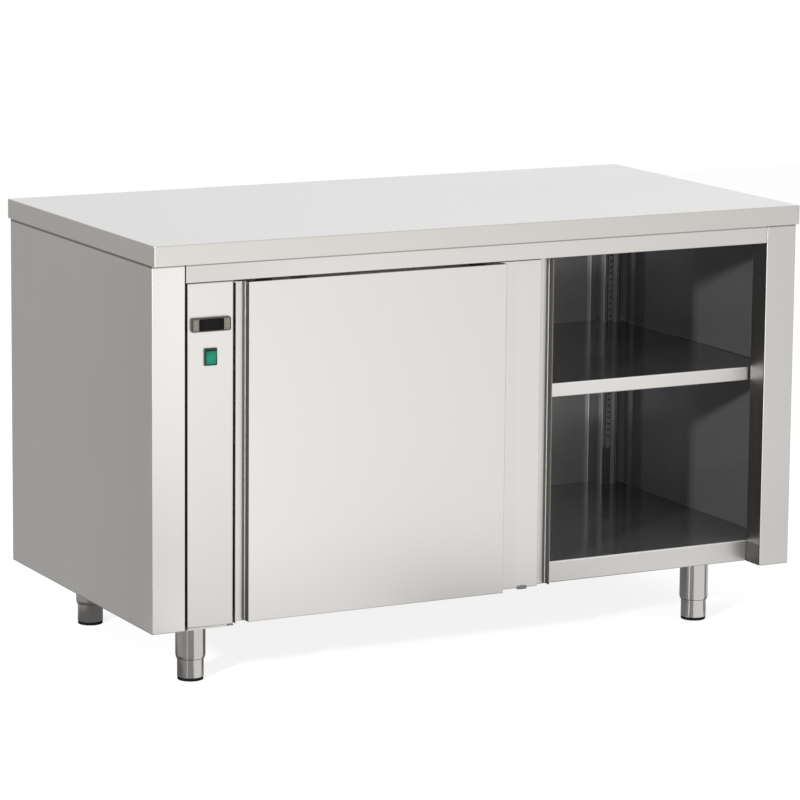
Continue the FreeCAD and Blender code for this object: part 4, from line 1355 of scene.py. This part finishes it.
@dataclass
class Feet:
    """Sleeves, adjustable tubes and rubber pads."""

    finishes: Finishes
    round_radius: float = 0.0010
    sides: int = 64
    rim_share: float = 0.14
    groove_share: float = 0.08
    groove_depth: float = 0.0008
    mouth: float = 0.0016

    def pad(self, low: Vector, high: Vector) -> bpy.types.Object:
        """Models one rubber pad with a rounded foot and a grooved sole.

        Args:
            low: Lowest corner of the pad's space.
            high: Highest corner.

        Returns:
            The pad.
        """
        centre = (low + high) / 2
        radius = (high.x - low.x) / 2
        pad = cylinder(self.sides, radius, high.z - low.z, tuple(centre))
        pick_faces(pad, (0, 0, -1))
        bpy.ops.mesh.bevel(offset=self.round_radius, segments=4)
        bpy.ops.object.mode_set(mode="OBJECT")
        pick_faces(pad, (0, 0, -1), 0.999)
        for step in (self.groove_depth, -self.groove_depth):
            bpy.ops.mesh.inset(thickness=radius * self.rim_share)
            bpy.ops.mesh.inset(thickness=radius * self.groove_share)
            bpy.ops.transform.translate(value=(0, 0, step))
        bpy.ops.object.mode_set(mode="OBJECT")
        smooth(pad)
        return pad

    def build(self) -> None:
        """Dresses the feet, with painted shade at the sleeves' mouths, and models their pads."""
        low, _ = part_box("leg_sleeves")
        # Painted shade: a dark ring at the sleeve's mouth, where the tube goes in.
        mouth = Patch({"z": about(low.z, self.mouth)}, -0.6)
        wear("leg_sleeves", DrawnTube("sleeve_tube", patches=(mouth,)).material())
        wear("leg_bolts", self.finishes.zinc)
        for place in ("front_left", "front_right", "rear_left", "rear_right"):
            wear(f"foot_{place}", self.finishes.tube)
            node = f"foot_pad_{place}"
            pad = self.pad(*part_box(node))
            Piece(f"rubber_pad_{place}", f"foot_{place}", "rubber", self.finishes.rubber, (node,)).finish(pad)


@dataclass
class HeaterAndInlet:
    """Fan heater and the mains inlet in the control compartment."""

    finishes: Finishes

    def build(self) -> None:
        """Gives the nodes their finishes."""
        looks = self.finishes
        for node, finish in {"heater_housing": looks.zinc, "heater_element": looks.sheath,
                             "fan_motor": looks.enamel, "fan_wheel": looks.zinc,
                             "terminal_block": looks.nylon, "cable_gland": looks.black_plastic}.items():
            wear(node, finish)
        log.info("heater and inlet dressed")


def stripe(place: Value, middle: float, half: float, soft: float = 0.06) -> Value:
    """A soft-edged stripe, 1 in its middle."""
    return abs(place - middle).ramp(half - soft, half + soft, 1.0, 0.0)


@dataclass(frozen=True)
class FootGlow:
    """What one front foot mirrors of the floor before it: a wide fan of light and a narrow glint.

    Fan and glint are the middle and the half width of a slope, sideways over forwards from the foot.
    """

    side: int
    fan: tuple[float, float]
    glint: tuple[float, float]
    glint_end: tuple[float, float]
    glint_share: float

    def light(self, slope: Value, reach: Value) -> Value:
        """How bright the foot sees a place of the floor.

        Args:
            slope: Sideways over forwards from the foot to the place.
            reach: How far the place lies before the foot.

        Returns:
            The brightness.
        """
        glint = stripe(slope, *self.glint) * reach.ramp(*self.glint_end, 1.0, 0.0)
        return stripe(slope, *self.fan) + glint * self.glint_share


@dataclass(frozen=True)
class FloorGlow:
    """How bright polished metal sees each place of the floor.

    The open floor lies well before the cabinet, the near floor between it and the feet. Spans are in
    metres from the cabinet's middle.
    """

    open_level: float = 0.94
    fall_backwards: float = 0.14
    fall_rightwards: float = 0.24
    open_limits: tuple[float, float] = (0.42, 1.5)
    far_left: tuple[float, float] = (-2.0, -0.75)
    far_left_share: float = 0.50
    open_end: tuple[float, float] = (-0.95, -0.84)
    near_end: tuple[float, float] = (-0.26, -0.20)
    near_level: float = 0.32
    near_share: float = 0.62
    rear_span: tuple[float, float] = (-0.6, 1.6)
    rear_levels: tuple[float, float] = (0.38, 0.80)
    # Where and how strongly the cabinet's painted shadow darkens the floor.
    under_side: tuple[float, float] = (0.66, 0.80)
    under_back: tuple[float, float] = (0.30, 0.45)
    under_share: float = 0.62
    feet_side: float = 0.562
    feet_front: float = -0.214
    least_reach: float = 0.02
    halves_seam: float = 0.02
    feet: tuple[FootGlow, FootGlow] = (
        FootGlow(-1, (3.0, 2.97), (-1.09, 0.12), (0.28, 0.34), 0.6),
        FootGlow(1, (0.65, 1.25), (-2.41, 0.26), (0.21, 0.26), 2.2),
    )

    def open_floor(self, x: Value, y: Value) -> Value:
        """Brightness of the open floor, which fades to the right and to the rear.

        Args:
            x: Place along X.
            y: Place along Y.

        Returns:
            The brightness.
        """
        least, most = self.open_limits
        level = (self.open_level - y * self.fall_backwards - x * self.fall_rightwards).at_most(most)
        return level.at_least(least) * x.ramp(*self.far_left, self.far_left_share, 1.0)

    def near_floor(self, x: Value, y: Value) -> Value:
        """Brightness of the near floor, of which each foot mirrors its own half.

        Args:
            x: Place along X.
            y: Place along Y.

        Returns:
            The brightness.
        """
        reach = (self.feet_front - y).at_least(self.least_reach)
        seam = about(0.0, self.halves_seam)
        left, right = (
            foot.light((x - foot.side * self.feet_side) / reach, reach)
            * x.ramp(*seam, float(foot.side < 0), float(foot.side > 0))
            for foot in self.feet)
        return (left + right) * self.near_share + self.near_level

    def brightness(self, graph: Graph) -> Value:
        """Puts the parts of the floor together, with a painted shadow under the cabinet.

        Args:
            graph: The floor's graph.

        Returns:
            The brightness.
        """
        x, y, _ = graph.axes()
        far = y.ramp(*self.open_end, 1.0, 0.0)
        near = y.ramp(*self.near_end, 1.0, 0.0)
        # Painted shadow of the cabinet, as polished metal sees it.
        under = abs(x).ramp(*self.under_side, 1.0, 0.0) * (1 - near) * y.ramp(*self.under_back, 1.0, 0.0)
        level = self.open_floor(x, y) * far + self.near_floor(x, y) * near * (1 - far)
        level = level + x.ramp(*self.rear_span, *self.rear_levels) * (1 - near)
        return level * (1 - under * self.under_share)


@dataclass(frozen=True)
class WallGlow:
    """How bright polished metal sees the studio's walls and ceiling, by the direction it looks in."""

    level: float = 0.42
    front: tuple[float, float] = (0.3, 0.9)
    front_side: tuple[float, float] = (-0.75, 0.0)
    front_least: float = 0.35
    front_share: float = 0.50
    rear: tuple[float, float] = (0.2, 0.8)
    rear_side: tuple[float, float] = (-0.5, 0.35)
    rear_share: float = 0.24
    rear_rise: float = 0.70
    ceiling: tuple[float, float] = (0.35, 0.9)
    ceiling_share: float = 0.30

    def brightness(self, graph: Graph) -> Value:
        """Adds the front wall, the rear wall and the ceiling to an even level.

        Args:
            graph: The world's graph.

        Returns:
            The brightness.
        """
        x, y, z = graph.axes("Generated")
        front = (0 - y).ramp(*self.front, 0.0, 1.0) * x.ramp(*self.front_side, self.front_least, 1.0)
        rear = y.ramp(*self.rear, 0.0, 1.0) * x.ramp(*self.rear_side, 0.0, 1.0)
        ceiling = z.ramp(*self.ceiling, 0.0, self.ceiling_share)
        return self.level + front * self.front_share + rear * (self.rear_share + x * self.rear_rise) + ceiling


@dataclass
class Studio:
    """Camera, floor, soft lights and surroundings."""

    camera_place: Point = (-3.5262, -6.7553, 1.8877)
    yaw: float = 0.480277
    pitch: float = 0.159408
    roll: float = 0.009052
    focal_pixels: float = 3868.6
    shift_pixels: float = -100.0
    frame_pixels: float = 800.0
    sensor_width: float = 36.0
    sight: float = 60.0
    floor_half: float = 6.0
    matt_level: float = 0.60
    floor_drop: float = 0.0002

    def add_camera(self) -> None:
        """Sets the camera at the photo's viewing angle."""
        data = bpy.data.cameras.new("camera")
        data.sensor_width = self.sensor_width
        data.lens = self.focal_pixels / self.frame_pixels * data.sensor_width
        data.shift_y = self.shift_pixels / self.frame_pixels
        data.clip_end = self.sight
        camera = bpy.data.objects.new("camera", data)
        bpy.context.scene.collection.objects.link(camera)
        ahead = math.cos(self.pitch)
        forward = Vector((math.sin(self.yaw) * ahead, math.cos(self.yaw) * ahead, -math.sin(self.pitch)))
        right = Vector((math.cos(self.yaw), -math.sin(self.yaw), 0.0))
        up = right.cross(forward)
        right_rolled = right * math.cos(self.roll) + up * math.sin(self.roll)
        up_rolled = up * math.cos(self.roll) - right * math.sin(self.roll)
        turn = Matrix((right_rolled, up_rolled, -forward)).transposed()
        camera.matrix_world = Matrix.Translation(self.camera_place) @ turn.to_4x4()
        bpy.context.scene.camera = camera

    @staticmethod
    def rays(graph: Graph) -> tuple[Value, Value]:
        """Tells the rays that arrive apart.

        Args:
            graph: The graph that asks.

        Returns:
            1 for rays from the camera or through glass, and 1 for rays off polished metal.
        """
        camera = graph.node("ShaderNodeLightPath", {}, {}, "Is Camera Ray")
        outputs = camera.socket.node.outputs
        seen = camera.at_least(Value(graph, outputs["Is Transmission Ray"]))
        return seen, Value(graph, outputs["Is Glossy Ray"])

    def add_floor(self) -> None:
        """Lays a pale floor that keeps the cabinet's shadow."""
        clear_selection()
        bpy.ops.mesh.primitive_plane_add(size=2 * self.floor_half, location=(0, 0, -self.floor_drop))
        floor = bpy.context.object
        floor.name = "studio_floor"
        material, graph = new_graph("studio_floor")
        seen, glossy = self.rays(graph)
        matt = graph.node("ShaderNodeBsdfDiffuse", {}, {"Color": grey(0.86), "Roughness": 0.5})
        strength = seen * 1.07 + glossy * FloorGlow().brightness(graph)
        white = graph.node("ShaderNodeEmission", {}, {"Color": grey(1.0), "Strength": strength})
        blend = graph.node("ShaderNodeMixShader", {}, {0: seen * 0.80 + glossy * 0.97, 1: matt, 2: white})
        graph.node("ShaderNodeOutputMaterial", {}, {"Surface": blend})
        floor.data.materials.append(material)

    def add_world(self) -> None:
        """Surrounds the cabinet with a white studio that metal sees brighter and darker by direction."""
        world = bpy.data.worlds.new("studio")
        bpy.context.scene.world = world
        world.use_nodes = True
        graph = Graph(world.node_tree)
        seen, glossy = self.rays(graph)
        unseen = (1 - seen.at_least(glossy)) * self.matt_level
        strength = seen + glossy * WallGlow().brightness(graph) + unseen
        backdrop = graph.node("ShaderNodeBackground", {}, {"Color": grey(1.0), "Strength": strength})
        graph.node("ShaderNodeOutputWorld", {}, {"Surface": backdrop})

    @staticmethod
    def add_light(name: str, place: Point, target: Point, size: float, power: float, mirrored: bool) -> None:
        """Adds a soft square light.

        Args:
            name: The light's name.
            place: Where it hangs.
            target: What it looks at.
            size: Its side.
            power: Its power in watts.
            mirrored: Whether metal shows it.
        """
        data = bpy.data.lights.new(name, "AREA")
        data.shape = "SQUARE"
        data.size = size
        data.energy = power
        light = bpy.data.objects.new(name, data)
        bpy.context.scene.collection.objects.link(light)
        light.location = place
        light.rotation_euler = (Vector(target) - Vector(place)).to_track_quat("-Z", "Y").to_euler()
        light.visible_camera = False
        light.visible_glossy = mirrored

    def build(self) -> None:
        """Sets up the studio."""
        self.add_camera()
        self.add_floor()
        self.add_world()
        self.add_light("key", (-4.3, -3.13, 1.9), (0.6, 0, 0.45), 0.25, 240, True)
        self.add_light("fill", (2.4, -3.6, 3.2), (0, 0, 0.4), 2.4, 60, False)
        self.add_light("top", (0.3, 0.6, 3.8), (0, 0, 0.6), 2.8, 90, False)
        for name, height in (("lower", 0.36), ("upper", 0.68)):
            target = (0.69, 0.28, height - 0.05)
            self.add_light(f"{name}_inside", (0.40, -0.05, height), target, 0.15, 0.11, False)
        bpy.context.scene.view_settings.view_transform = "Standard"
        log.info("studio ready")


def main() -> None:
    """Builds the looks in order and keeps the sizes."""
    logging.basicConfig(level=logging.INFO, format="%(name)s: %(message)s")
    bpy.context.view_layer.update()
    clear_selection()
    finishes = Finishes()
    for part in (Carcass, HeatedSpace, ControlColumn, Doors, Feet, HeaterAndInlet):
        part(finishes).build()
    Studio().build()
    clear_selection()
    bpy.context.view_layer.update()


if __name__ == "__main__":
    main()
